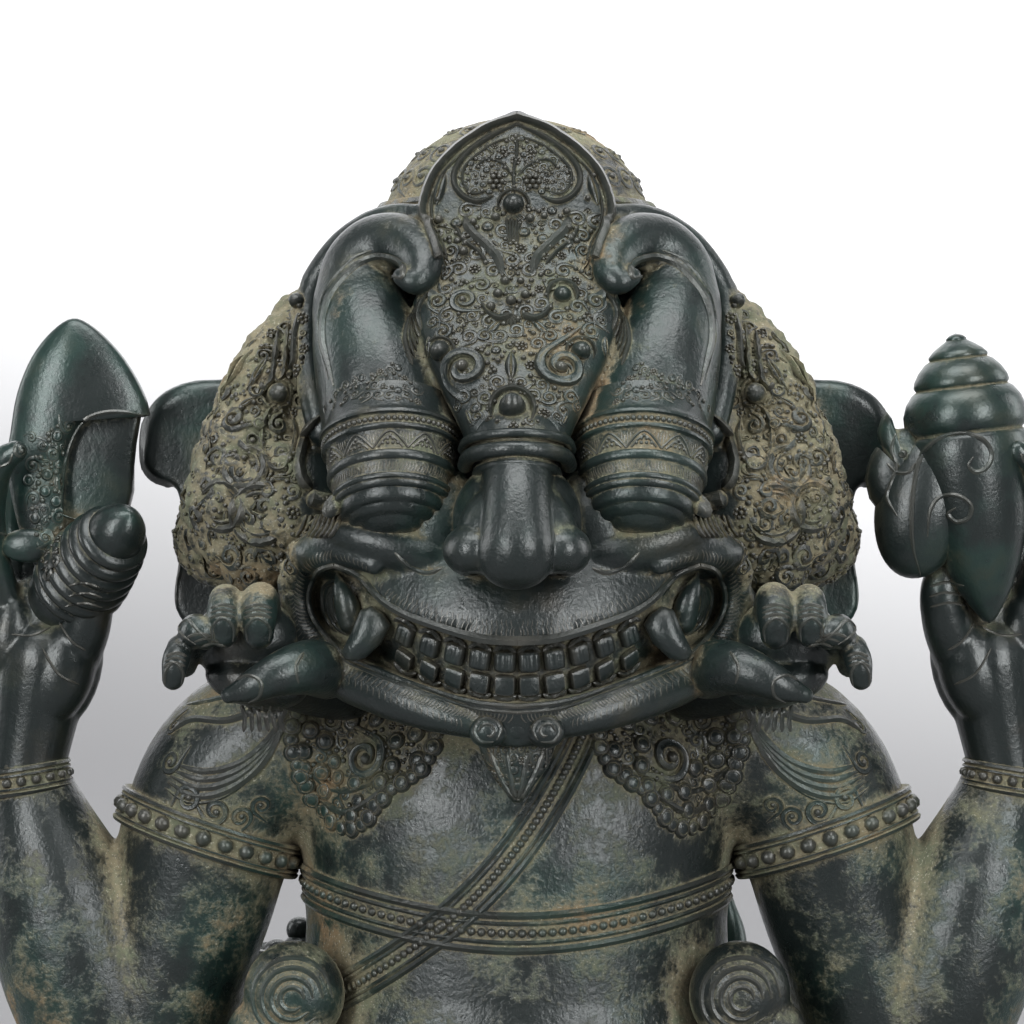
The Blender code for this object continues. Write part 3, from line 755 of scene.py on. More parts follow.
def bristles(relief, path, spacing, size, lean=0.0, lift=0.0):
    """Short strokes of hair side by side along a path, each across it."""
    line = smooth_path([(u, v, 0) for u, v in path], 12)
    gone = spacing
    for before, after in zip(line, line[1:]):
        gone += (after - before).length
        if gone >= spacing:
            gone = 0
            turn = math.degrees(math.atan2(after.y - before.y, after.x - before.x))
            relief.lay(STROKE, before.x, before.y, size, turn + lean, lift=lift)


def build_mouth(skin):
    """The grin: its lips with their hair, two rows of teeth, tusks and fangs, the chin and its tuft."""
    lips = Relief(Ground(skin))
    top = MOUTH[:9]
    round_corner = MOUTH[8:14]
    below = MOUTH[13:]
    lips.ridge(top, lambda s: 4.6 - 2.2 * s, cuts=6, taper=False, flat=0.9)
    lips.ridge(round_corner, 2.4, cuts=5, taper=False)
    lips.ridge(below, 2.2, cuts=5, taper=False)
    lips.ridge([(x, z - 5 if x < 60 else z - 4) for x, z in below], 1.6, cuts=5, taper=False)
    bristles(lips, [(2, 523), (24, 524), (44, 528), (70, 536), (92, 545), (108, 555)], 2.6, 4.6, 6)
    bristles(lips, [(4, 530), (26, 531), (46, 535), (72, 543), (92, 552)], 3.4, 3.6, -14)
    bristles(lips, [(112, 560), (122, 572), (136, 581), (152, 584)], 3.0, 4.0, -30)
    bristles(lips, [(154, 585), (170, 580), (181, 564), (183, 544), (177, 525), (164, 508), (148, 495)], 2.6,
             6.0, 28)
    bristles(lips, [(150, 492), (128, 484), (100, 475), (70, 464), (36, 455), (2, 452)], 2.6, 5.6, 26)
    bristles(lips, [(176, 514), (160, 492), (130, 477), (100, 466), (70, 455), (44, 447)], 3.0, 4.6, -24)
    bristles(lips, [(187, 570), (191, 550), (187, 528), (178, 508)], 3.4, 3.6, -20)
    lips.mirror()
    sink(skin, smooth_line(whole(MOUTH), 3), 19, 4.5)
    ground = Ground(skin)
    teeth = Relief(ground)
    for i in range(5):
        across = 10 + 20.6 * i
        rise = 0.0025 * across * across
        slope = math.degrees(math.atan(0.005 * across))
        teeth.lay(UPPER_TOOTH, across, 498 + rise, 9.6, slope, lift=3)
        teeth.lay(LOWER_TOOTH, across, 478.6 + rise, 9.4, slope, lift=2)
        for drop, size in ((10.5, 2.2), (-29.5, 2.4)):
            bow = 2.6 if drop > 0 else -2.6
            teeth.ridge([(across - 9.5, 498 + rise + drop - bow - 0.047 * across),
                         (across, 498 + rise + drop + bow),
                         (across + 9.5, 498 + rise + drop - bow + 0.047 * across)], size, cuts=5, lift=3.5)
    for offset in (7, 14):
        teeth.ridge([(150 - offset * 0.3, 573 - offset), (164 - offset * 0.7, 567 - offset * 0.8),
                     (172 - offset, 554),
                     (171 - offset, 538), (165 - offset * 0.8, 524 + offset * 0.4), (153, 513 + offset)], 2.0,
                    cuts=5)
    teeth.ridge([(150, 566), (156, 550), (154, 536), (146, 526), (136, 524), (128, 532)], 2.0, cuts=5, lift=1)
    teeth.ridge([(153, 561), (160, 548), (158, 533), (149, 521), (137, 519)], 1.6, cuts=5, lift=1)
    teeth.mirror()
    parts = [lips.finish("lips"), teeth.finish("teeth")]
    fang = roll([(139, -214, 530, 11), (143, -216, 546, 10), (148, -214, 560, 6), (151, -211, 570, 1.5)], 16)
    tusk_edge = [(105, 528), (111, 538), (121, 543), (130, 540), (137, 523), (146, 505), (143, 499),
                 (136, 497),
                 (126, 500), (113, 512)]
    tusk = shield(tusk_edge, (124, 520), -243, -254, -205, (1.0, 0.97, 0.9, 0.7, 0.4, 0.1))
    parts += both(fang, tusk)
    chin = fused("chin", both(ball((24, -272, 441), (16, 15, 14))) + [ball((0, -268, 446), (14, 14, 16)),
                 shield(whole([(0, 446), (24, 444), (33, 430), (26, 410), (14, 394), (4, 380)]), (0, 420),
                        -244, -262,
                        -228)], 1.8, 3)
    marks = Relief(Ground(chin))
    marks.ridge([(24 + 11 * math.cos(a), 442 + 10 * math.sin(a)) for a in range(-2, 5)], 1.8, cuts=5)
    marks.ridge([(24 + (8 - a) * math.cos(a), 441 + (8 - a) * math.sin(a)) for a in range(0, 6)], 1.5, cuts=5)
    marks.mirror()
    tuft = whole([(0, 428), (24, 428), (30, 424), (25, 410), (14, 396), (3, 384)])
    carve(marks, tuft, random.Random(21), (), (7,), (5, 4), (2.4,))
    for side in (-1, -0.4, 0.4, 1):
        marks.ridge([(side * 22, 424), (side * 17, 410), (side * 10, 396), (side * 2, 384)], 2.4, cuts=5)
    return parts + [chin, marks.finish("chin_marks")]


def build_plaque(ground):
    """The crown plaque: a rim, a heart-shaped panel with a berry plant, and scrolls down to the nose."""
    relief = Relief(ground, bold=1.75)
    for inset, size, high in ((2.5, 4.2, 1.3), (9.5, 1.6, 1.0)):
        rim = [(0, 963 - inset), (24 - inset * 0.4, 954 - inset), (43 - inset * 0.6, 942 - inset * 0.8),
               (59 - inset * 0.8, 928 - inset * 0.5), (72 - inset, 911), (79 - inset, 894), (82 - inset, 878),
               (79 - inset, 863), (73 - inset, 849), (69 - inset, 834)]
        relief.ridge(rim, size, cuts=6, taper=False, flat=high)
    for inset, size in ((0, 3.0), (7, 1.6)):
        relief.ridge([(0, 953 - inset * 1.4), (20 - inset * 0.3, 944 - inset),
                      (40 - inset * 0.7, 930 - inset * 0.7),
                      (52 - inset, 914), (53 - inset, 900 + inset * 0.3),
                      (45 - inset * 0.7, 889 + inset * 0.6),
                      (33, 885 + inset), (20, 890 + inset)], size, cuts=6)
    relief.ridge([(44, 872), (40, 860), (28, 848), (17, 836), (12, 820)], 4.6, cuts=6, flat=0.7)
    relief.ridge([(52, 864), (46, 852), (34, 842), (24, 830)], 2.4, cuts=6)
    relief.lay(LEAF, 65, 898, 17, 8, stretch=0.75)
    for i in range(6):
        relief.ridge([(76 + 3 * i, 806 - 4 * i), (83 + 2.2 * i, 790 - 5 * i), (80 + 1.4 * i, 774 - 6 * i)],
                     2.2, cuts=5)
    relief.ridge([(4, 786), (14, 783), (23, 787), (30, 797)], lambda s: 4.4 - 2.6 * s, cuts=6)
    for u, v, size, turn, flip in ((62, 824, 10, 150, False), (56, 842, 8.5, 20, True),
                                   (30, 812, 9, 60, False),
                                   (66, 798, 11, -60, False), (27, 768, 9, 10, True),
                                   (62, 772, 10, 100, False),
                                   (26, 716, 9, 200, False), (44, 716, 8.5, 20, False),
                                   (70, 780, 8, 10, True),
                                   (33, 700, 7, 80, True), (50, 708, 6, 120, False), (16, 830, 6, 70, False)):
        relief.lay(HEAVY_CURL, u, v, size * 0.8, turn, flip)
    relief.lay(LOBES, 47, 850, 7, 20)
    relief.lay(LEAF, 19, 776, 10, 40)
    relief.lay(LEAF, 40, 700, 8, -30)
    relief.lay(LEAF, 74, 760, 10, -10)
    relief.mirror()
    taken = [(42, 741, 25), (-44, 741, 25), (-4, 706, 19), (-44, 799, 14), (38, 803, 14)]
    for u, v, reach in ((62, 824, 8), (56, 842, 7), (30, 812, 8), (66, 798, 9), (27, 768, 8), (62, 772, 8),
                        (26, 716, 8), (44, 716, 7)):
        taken += [(u, v, reach), (-u, v, reach)]
    relief.lay(HEAVY_CURL, 38, 743, 21, 120)
    relief.lay(HEAVY_CURL, -44, 741, 21, 60, True)
    relief.lay(CURL, 38, 739, 9, -30)
    relief.lay(CURL, -43, 737, 9, 210, True)
    for u, v, size in ((53, 755, 8.5), (-64, 755, 9), (-3, 882, 9.5), (-4, 706, 11.5)):
        relief.lay(FINE_BEAD, u, v, size, lift=1)
        taken.append((u, v, size + 3))
    for u, v, reach, thick in ((-3, 882, 13, 1.8), (-4, 706, 18, 3.0), (53, 755, 12, 1.8),
                               (-64, 755, 12, 1.8),
                               (38, 803, 12.5, 2.6)):
        relief.ridge(arc((u, v), reach, [0.5 * a for a in range(-1, 8)]), thick, cuts=4)
    relief.lay(HEAVY_CURL, -44, 799, 12, 100, True)
    relief.lay(FINE_BEAD, 38, 803, 8)
    for u, v, size in ((-67, 887, 2.6), (-66, 869, 4.4), (-37, 867, 3.6), (-18, 871, 4.4), (11, 870, 4.4),
                       (23, 872, 3.4),
                       (42, 876, 3.6), (44, 862, 3.6), (60, 888, 2.8), (65, 908, 2.6), (-45, 841, 4.4),
                       (-10, 815, 4.4), (3, 815, 3.6), (-16, 804, 4.6), (-22, 793, 4.4), (7, 803, 4.4),
                       (-5, 798, 5.0)):
        relief.lay(BEAD, u, v, size, lift=1)
        taken.append((u, v, size + 1))
    relief.ridge([(-2, 892), (-3, 910), (0, 928), (-1, 945)], 1.8, cuts=5)
    for side in (1, -1):
        relief.ridge([(-2, 905), (side * 12, 918), (side * 26, 922), (side * 36, 914)], 1.5, cuts=5)
        relief.lay(CURL, side * 36, 908, 5.5, 60 * side, side < 0)
        relief.lay(FLOWER, side * 12, 928, 5.5)
        relief.lay(LEAF, side * 24, 932, 6, -50 * side)
        for i in range(7):
            turn = math.tau * i / 6
            spread = 5.2 if i < 6 else 0
            relief.lay(BEAD, side * 15.5 - 2 + spread * math.cos(turn), 902 + spread * math.sin(turn), 2.8,
                       lift=0.6)
    relief.lay(FLOWER, -1, 921, 5)
    relief.lay(LOBES, -1, 940, 5)
    for i in range(5):
        relief.ridge([(-9 + 3 * i, 870), (-8 + 2.2 * i, 858), (-7.5 + 2 * i, 848)], 1.7, cuts=4)
    for i in range(7):
        turn = math.radians(200 + 23.3 * i)
        relief.ridge([(-5, 786), (-5 + 10 * math.cos(turn), 786 + 10 * math.sin(turn))], 1.8, cuts=4)
    relief.lay(LEAF, -5, 742, 15, 180, lift=1, stretch=0.8)
    taken.append((-5, 742, 13))
    chance = random.Random(17)
    for v in (848, 836, 826, 760, 728, 692):
        relief.lay(LOBES, -3, v, 4.4)
    field = whole([(0, 880), (60, 878), (74, 868), (66, 850), (62, 836), (60, 815), (66, 800), (72, 786),
                   (64, 760),
                   (52, 735), (44, 714), (36, 698), (0, 692)])
    carve(relief, field, chance, taken, (9, 7.4), (5.8, 4.8, 3.9), (3.1, 2.5, 2.0), 0.7)
    upper = whole([(0, 944), (36, 926), (46, 914), (48, 900), (40, 892), (0, 896)])
    carve(relief, upper, chance, [(-2, 920, 10), (14, 902, 9), (-18, 902, 9), (36, 908, 7), (-36, 908, 7)],
          (5.5,),
          (4.4, 3.6), (2.6, 2.0))
    return relief.finish("plaque_carving")


def in_mane(spot):
    """How far a spot of the skin is in the mane, from 0 to 1."""
    if spot.z <= MANE_LOW or spot.y >= -60:
        return 0.0
    return min(1.0, max(0.0, (abs(spot.x) - MANE_FROM) / 10))


def build_head():
    """The guardian's face: its skin, eyes, nose and mouth."""
    skin = head_mass()
    roughened(skin, 4.5, 15.0, in_mane)
    nose_parts = nose()
    eyes = both(eye())
    bands = eye_bands(Ground(eyes[0]))
    bands.mirror()
    mouth = build_mouth(skin)
    ground = Ground(skin, *eyes, *nose_parts)
    face = Relief(ground)
    face.ridge(HORN_LINE, 3.2, cuts=6)
    face.ridge([(x + 4.5, z + 5) for x, z in HORN_LINE[4:]], 1.8, cuts=6)
    face.ridge([(62, 575), (75, 571), (90, 577), (101, 588)], 2.0, cuts=6)
    crest = [(78, 712), (86, 729), (102, 746), (122, 736), (144, 729), (162, 706), (120, 718)]
    carve(face, crest, random.Random(4), (), (6,), (4.6, 3.8), (2.4, 2.0))
    face.mirror()
    return [skin, *eyes, *nose_parts, bands.finish("eye_bands"), face.finish("face_lines"), *mouth]


def build_mane(ground):
    """The mane: large scrolls, leaf lobes and ringlets in their places, and small carving between them."""
    relief = Relief(ground, bold=1.6)
    taken = []
    for u, v, size, turn, flip in ((234, 655, 12, 200, True), (243, 664, 9, 40, False),
                                   (224, 662, 9, 300, True),
                                   (256, 668, 12, 20, False), (268, 643, 12, 70, True),
                                   (212, 640, 10, 40, False),
                                   (243, 702, 14, 240, False), (226, 684, 12, 150, True),
                                   (212, 584, 13, 10, False),
                                   (246, 584, 14, 130, True), (276, 617, 12, 300, False),
                                   (284, 596, 14, 40, True),
                                   (194, 768, 10, 90, False), (218, 756, 9, 300, True),
                                   (253, 724, 11, 10, False),
                                   (190, 592, 11, 220, False), (230, 566, 12, 80, False),
                                   (262, 569, 12, 180, True),
                                   (214, 626, 11, 120, True), (228, 616, 10, 330, False),
                                   (210, 612, 10, 200, False)):
        relief.lay(MID_CURL, u, v, size * 0.85, turn, flip)
        taken.append((u, v, size * 0.8))
    for middle, reach, first in (((252, 627), 20, 30), ((218, 620), 24, 200), ((232, 660), 18, 80)):
        for inset, thick in ((0, 4.2), (6, 2.0)):
            ring = arc(middle, reach - inset, [math.radians(first + 24 * a) for a in range(13)])
            relief.ridge(ring, thick, cuts=3, flat=0.8)
            taken += [(u, v, thick) for u, v in ring[::2]]
    for u, v, size, turn in ((242, 744, 30, 24), (222, 742, 17, 26), (256, 712, 13, 14), (262, 694, 12, -10),
                             (231, 716, 11, 60), (272, 664, 11, -20), (200, 650, 10, 90), (226, 768, 14, 34)):
        relief.lay(LEAF, u, v, size, turn, stretch=0.6)
        taken.append((u, v, size * 0.5))
    relief.lay(FINE_BEAD, 206, 723, 9, lift=2)
    relief.ridge(arc((206, 723), 13, [0.5 * a for a in range(14)]), 2.2, cuts=3)
    taken.append((206, 723, 15))
    relief.lay(FINE_BEAD, 189, 803, 7, lift=1)
    leaf_body = [(196, 712), (190, 694), (191, 674), (199, 658), (210, 662), (217, 680), (216, 700),
                 (208, 713)]
    relief.ridge(leaf_body + leaf_body[:1], 2.4, cuts=5)
    for i in range(3):
        relief.ridge([(188 + 9 * i, 792 - 7 * i), (190 + 9 * i, 770 - 7 * i), (191 + 10 * i, 748 - 6 * i),
                      (197 + 10 * i, 740 - 6 * i), (201 + 9 * i, 746 - 6 * i)], 3.4, cuts=6)
    relief.ridge([(166, 704), (178, 690), (184, 668), (182, 650), (174, 640)], lambda s: 3 + 4 * s, cuts=6,
                 lift=2)
    relief.ridge([(178, 634), (164, 630), (146, 627)], 8, sides=10, cuts=6, lift=2)
    for i in range(9):
        relief.ridge([(146 + 4 * i, 619), (150 + 4 * i, 608), (156 + 4 * i, 600)], 2.3, cuts=4)
    taken.append((182, 660, 12))
    taken.append((166, 628, 12))
    region = [(186, 800), (207, 786), (232, 760), (250, 736), (264, 706), (273, 680), (281, 650), (295, 622),
              (303, 602), (298, 580), (280, 563), (245, 552), (205, 552), (190, 575), (190, 600), (186, 640),
              (190, 680), (186, 720), (182, 760)]
    carve(relief, region, random.Random(7), taken, (10.5, 8.5), (6.6, 5.4, 4.4), (3.6, 2.9, 2.3))
    relief.mirror()
    return relief.finish("mane_carving")


def build_bun():
    """The bun of hair behind the plaque: a rounded cap over a band, with wavy locks all round."""
    cap = ball((0, -25, 866), (119, 106, 103), rings=32)
    band = turned([(-14, 0), (-13, 112), (-9, 121), (-2, 124), (3, 121), (5, 124), (9, 121), (11, 112),
                   (12, 0)],
                  (0, -22, 884), (0, 0, 1), 64)
    chance = random.Random(3)
    locks = Relief(Ground(cap), round_line((0, -25, 0), (0, 0, 1)))
    count = 30
    for row, height in enumerate((912, 935, 955)):
        around = count - 7 * row
        for i in range(around):
            size = 13 - row
            locks.lay(CURL, 360 * (i + 0.5 * (row % 2)) / around, height, size,
                      40 * (i % 3) + chance.uniform(-20, 20),
                      i % 2 == 0)
    for i in range(44):
        locks.ridge([(360 * i / 44, 868), (360 * i / 44 + 5, 850), (360 * i / 44 - 3, 830),
                     (360 * i / 44 + 4, 800)],
                    4.5, cuts=4)
    return [cap, band, locks.finish("locks")]


def build_ears():
    """The elephant's ears: thin flaps with a rolled upper edge, seen dark behind the mane."""
    outline = [(110, 800), (170, 765), (230, 738), (262, 733), (285, 730), (302, 726), (318, 714), (329, 694),
               (334, 672), (331, 660), (320, 651), (306, 645), (300, 628), (299, 600), (303, 570), (306, 545),
               (301, 528), (285, 512), (255, 505), (205, 505), (150, 530), (110, 560)]
    flap = shield(smooth_line(outline, 3), (200, 640), 32, 52, 16)
    edge = roll([(228, 26, 737, 7), (262, 27, 732, 9), (300, 28, 726, 10), (322, 29, 708, 10),
                 (330, 30, 678, 9),
                 (326, 30, 657, 8), (312, 29, 648, 6)], 12)
    ear = fused("ears", both(flap, edge), 3.2, 4)
    veins = Relief(Ground(ear), from_back)
    for i in range(5):
        veins.ridge([(150, 640 + 20 * (i - 2)), (210, 640 + 34 * (i - 2)), (280, 640 + 42 * (i - 2))], 2.6,
                    cuts=6)
    veins.mirror()
    return [ear, veins.finish("ear_veins")]


def build_elephant():
    """The face on the far side: a domed brow, small eyes, short tusks and a trunk that lies on the belly."""
    lumps = [ball((0, 62, 740), (132, 118, 140))]
    lumps += both(ball((50, 98, 832), (72, 70, 70)), ball((68, 112, 680), (58, 62, 78)))
    lumps.append(roll([(0, 146, 740, 72), (0, 186, 660, 65), (0, 200, 570, 56), (-5, 202, 480, 48),
                       (-16, 206, 400, 43), (-42, 222, 330, 38), (-88, 238, 280, 33), (-132, 242, 258, 28),
                       (-164, 238, 272, 23), (-172, 232, 302, 18)], 24))
    lumps += both(roll([(70, 150, 612, 30), (50, 170, 590, 24), (30, 180, 575, 16)]))
    skin = fused("elephant_face", lumps, 3.4)
    parts = [skin]
    parts += both(roll([(58, 170, 640, 19), (70, 206, 602, 15), (76, 236, 566, 6)], 16))
    parts.append(turned([(0, 0), (1, 30), (8, 44), (26, 52), (32, 52), (33, 48), (26, 45), (18, 40), (14, 0)],
                        (-206, 262, 176), (0, 0, 1)))
    sweets = [(-206, 262, 204, 17), (-228, 270, 200, 15), (-186, 274, 199, 15), (-206, 240, 200, 15),
              (-184, 250, 198, 13), (-226, 248, 198, 13), (-206, 286, 198, 14), (-206, 264, 224, 13)]
    parts += [ball((x, y, z), (size, size, size), rings=14) for x, y, z, size in sweets]
    parts.append(roll([(206, 262, 190, 14), (206, 270, 222, 12), (202, 282, 250, 6)], 16))
    parts += both(ball((84, 156, 742), (14, 12, 9)), turned([(0, 0), (2, 24), (6, 27), (10, 24), (12, 0)],
                                                            (60, 176, 634),
                                                           (0.2, 0.6, -0.55), 32))
    ground = Ground(*parts)
    lines = Relief(ground, from_back)
    for height in range(655, 299, -15):
        middle = -max(0, 480 - height) * 0.17
        half = 44 - (655 - height) * 0.045
        lines.ridge([(middle - half, height + 6), (middle - half * 0.5, height - 2), (middle, height - 5),
                     (middle + half * 0.5, height - 2), (middle + half, height + 6)], 2.0, cuts=4)
    for dip in (0, 7):
        for side in (1, -1):
            lines.ridge([(side * 66, 748 + dip), (side * 84, 756 + dip), (side * 104, 746 + dip)], 2.4)
            lines.ridge([(side * 64, 738 - dip), (side * 84, 726 - dip), (side * 106, 736 - dip)], 2.4)
    parts.append(lines.finish("elephant_lines"))
    crown = Relief(ground, from_back)
    for level, size in ((800, 5), (786, 3.5), (814, 3.5)):
        crown.ridge([(-128, level - 6), (-80, level + 2), (0, level + 6), (80, level + 2), (128, level - 6)],
                    size,
                    cuts=12, taper=False)
    for i in range(23):
        across = -121 + 11 * i
        crown.lay(BEAD, across, 804 - 12 * (across / 128) ** 2, 5.5)
    for i in range(9):
        across = -112 + 28 * i
        crown.lay(LEAF, across, 838 - 14 * (across / 128) ** 2, 20, lift=1)
        crown.lay(FLOWER, across, 818 - 12 * (across / 128) ** 2, 8, lift=3)
    crown.lay(FLOWER, 0, 862, 22, lift=4)
    parts.append(crown.finish("crown_band"))
    return parts


def trunk_mass():
    """The trunk: seat, waist, chest and the belly on the elephant's side."""
    return [column([(-30, 205, 150, -35), (20, 238, 178, -28), (75, 236, 178, -15), (130, 208, 164, 0),
                    (200, 189, 155, 6), (260, 187, 152, 4), (320, 192, 148, 0), (370, 204, 142, 0),
                    (415, 205, 132, 0), (455, 178, 118, 0), (500, 135, 105, 0)], count=64),
            ball((0, 78, 185), (165, 148, 132), rings=24), ball((0, 72, 425), (128, 92, 92))]


def body_mass():
    """The skin of the trunk, the legs, the shoulders and the four arms."""
    lumps = trunk_mass()
    lumps.append(ball((0, 10, 520), (150, 125, 90)))
    lumps += both(roll([(95, 0, 72, 84), (200, 60, 78, 80), (300, 128, 72, 70)], 24),
                  roll([(302, 140, 66, 66), (210, 222, 52, 50), (105, 262, 46, 41)], 24),
                  ball((40, 268, 40), (36, 62, 36)))
    for toe in range(4):
        lumps += both(ball((16 + 15 * toe, 328 - 5 * toe, 44 - 3 * toe), (9, 12, 13), rings=8))
    lumps += both(roll([(165, 0, 420, 88), (236, -3, 398, 82), (270, -2, 345, 79), (291, 0, 265, 71),
                        (318, 4, 180, 66), (342, 5, 118, 64)], 32),
                  roll([(342, 5, 116, 64), (386, 1, 215, 72), (412, -2, 305, 62), (427, -4, 358, 45),
                        (436, -5, 400, 35)], 32),
                  roll([(342, 10, 112, 58), (322, 110, 118, 56), (272, 190, 138, 43), (236, 232, 156, 31)],
                       24),
                  ball((214, 250, 166), (36, 40, 22)))
    for finger in range(4):
        across = 196 + 14 * finger
        lumps += both(roll([(across, 268, 172, 9), (across - 3, 292, 168, 8), (across - 4, 303, 152, 7)], 10))
    body = fused("body_and_limbs", lumps, BODY_GRAIN, 5)
    bpy.ops.mesh.primitive_cube_add(size=1, location=(0, 0, -60), scale=(1200, 1200, 120))
    below = bpy.context.object
    apply(body, "BOOLEAN", operation="DIFFERENCE", object=below)
    bpy.data.objects.remove(below)
    return body


def raised_hand():
    """An open palm with the thumb set inwards and the fingers reaching up, on the +X side."""
    lumps = [roll([(436, -5, 392, 35), (428, -5, 440, 39), (420, -6, 488, 44)], 24),
             ball((420, -6, 494), (54, 28, 74), -6),
             ball((402, -24, 482), (30, 27, 50), -16),
             ball((448, -18, 512), (22, 22, 40), -6),
             roll([(392, -18, 496, 25), (378, -32, 528, 22), (374, -38, 556, 19), (378, -38, 578, 15)], 20),
             roll([(450, -14, 530, 16), (461, -36, 590, 14), (457, -66, 640, 13), (444, -84, 668, 12),
                   (434, -88, 674, 10)], 16)]
    for finger in range(3):
        across = 444 - 16 * finger
        lumps.append(roll([(across, 12, 540, 14), (across + 5, 24, 600, 13), (across + 3, 12, 644, 11)], 16))
    return fused("raised_hand", lumps, HAND_GRAIN, 3)


def hand_lines(relief, side):
    """The creases across a raised hand's thumb, finger and palm."""
    for points in (((362, 556), (376, 560), (390, 557)), ((361, 547), (375, 551), (390, 548)),
                   ((362, 538), (378, 542), (394, 539)), ((384, 470), (402, 480), (416, 502)),
                   ((410, 520), (426, 513), (444, 514)), ((446, 600), (458, 604), (472, 600)),
                   ((378, 500), (390, 508), (402, 524)), ((436, 672), (440, 664), (450, 660))):
        relief.ridge([(side * x, z) for x, z in points], 1.3, sides=5, cuts=4)


def build_conch_hand():
    """The hand on the +X side with the conch on its palm."""
    hand = raised_hand()
    tail = Vector((414, -52, 524))
    crown = Vector((384, -52, 778))
    length = (crown - tail).length
    steps = [(0.0, 0), (0.01, 5), (0.03, 9), (0.07, 16), (0.12, 24), (0.2, 33), (0.3, 42), (0.4, 48),
             (0.5, 51.5),
             (0.58, 53.5), (0.635, 53), (0.65, 50.5), (0.655, 48.5), (0.66, 48.8), (0.668, 51.5), (0.69, 54),
             (0.73, 54), (0.77, 50.5), (0.802, 44.5), (0.808, 42), (0.813, 40), (0.818, 41), (0.826, 42),
             (0.845, 41),
             (0.875, 36.5), (0.902, 30), (0.908, 27), (0.912, 25), (0.917, 26), (0.925, 26), (0.942, 22),
             (0.96, 15.5),
             (0.972, 10.5), (0.976, 9), (0.982, 9), (0.992, 6), (1.0, 0)]
    shell = turned([(share * length, radius) for share, radius in steps], tail, crown - tail, 80)
    body = ball((356, -58, 628), (42, 34, 66), 14, rings=24)
    leaf = [(364, 578), (335, 602), (322, 616), (309, 633), (305, 650), (307, 661), (311, 672), (315, 678),
            (317, 671),
            (320, 668), (321, 676), (317, 684), (316, 692), (319, 702), (323, 709), (327, 704), (327, 696),
            (332, 694),
            (342, 695), (350, 688), (356, 676), (358, 660), (356, 640), (362, 610)]
    lip = shield(leaf, (340, 652), -62, -78, -46)
    parts = [hand, shell, body, lip]
    marks = Relief(Ground(*parts))
    marks.ridge([(352, 566), (344, 590), (342, 620), (345, 650), (352, 672), (364, 684), (384, 690),
                 (402, 684),
                 (410, 672), (406, 660), (396, 656), (390, 662), (394, 669)], 2.2, cuts=6)
    marks.ridge([(356, 600), (358, 622), (366, 634), (380, 636), (392, 628), (391, 617), (381, 613),
                 (374, 620),
                 (380, 625)], 2.0, cuts=6)
    marks.ridge([(330, 690), (326, 676), (330, 662), (326, 648), (322, 634), (330, 618)], 1.8, cuts=6)
    marks.ridge([(322, 664), (330, 656), (340, 656), (346, 664)], 1.8, cuts=5)
    marks.lay(BEAD, 336, 672, 4, lift=1)
    hand_lines(marks, 1)
    parts.append(marks.finish("conch_marks"))
    return parts


def build_axe_hand():
    """The hand on the -X side with the axe."""
    hand = raised_hand()
    hand.data.transform(Matrix.Scale(-1, 4, (1, 0, 0)))
    hand.data.flip_normals()
    outline = [(-418, 560), (-436, 600), (-446, 640), (-449, 668), (-446, 691), (-440, 726), (-427, 758),
               (-409, 781),
               (-391, 792), (-374, 785), (-354, 766), (-339, 745), (-328, 723), (-324, 707)]
    hook = [(-331, 705), (-343, 708), (-360, 708), (-375, 704), (-385, 695), (-393, 677), (-398, 653),
            (-399, 620),
            (-396, 580)]
    edge = smooth_line(outline, 4) + smooth_line(hook, 3)
    blade = shield(edge, (-404, 700), -32, -50, -14, (1.0, 0.99, 0.97, 0.92, 0.8, 0.6, 0.35, 0.1))
    plate = [(-408, 712), (-380, 714), (-350, 712), (-334, 706), (-338, 682), (-340, 662), (-340, 640),
             (-350, 600),
             (-372, 580), (-408, 580)]
    socket = shield(plate, (-372, 650), -24, -28, 6, (1.0, 0.97, 0.9, 0.6, 0.2))
    rings = [(-30, 0), (-28, 34), (0, 37)]
    for start, radius in ((0, 41), (13, 42), (26, 41.5), (39, 40), (52, 38), (65, 36), (78, 33)):
        rings += [(start + 1, radius - 4.5), (start + 3, radius - 1.2), (start + 6.5, radius),
                  (start + 10, radius - 1.2), (start + 12, radius - 4.5)]
    rings += [(91, 25.5), (92, 25.5), (100, 24.5), (108, 21), (115, 15.5), (120, 9), (123, 4), (124, 0)]
    butt = turned(rings, (-392, -20, 553), (0.48, -0.69, 0.54), 64)
    bar = ball((-428, -42, 592), (26, 10, 15), rings=12)
    parts = [hand, blade, socket, butt, bar]
    scroll = Relief(Ground(*parts))
    border = [(-428, 688), (-416, 680), (-408, 694), (-398, 702), (-392, 700), (-397, 676), (-400, 640),
              (-398, 600),
              (-404, 574), (-412, 560), (-420, 590), (-427, 630), (-431, 660)]
    carve(scroll, border, random.Random(11), (), (9, 7.5), (5.5, 4.4), (3, 2.3))
    scroll.ridge([(-328, 706), (-343, 709), (-360, 709), (-376, 704), (-386, 695), (-394, 677), (-399, 653),
                  (-400, 620)], 2.0, cuts=6)
    hand_lines(scroll, -1)
    parts.append(scroll.finish("axe_scrolls"))
    return parts


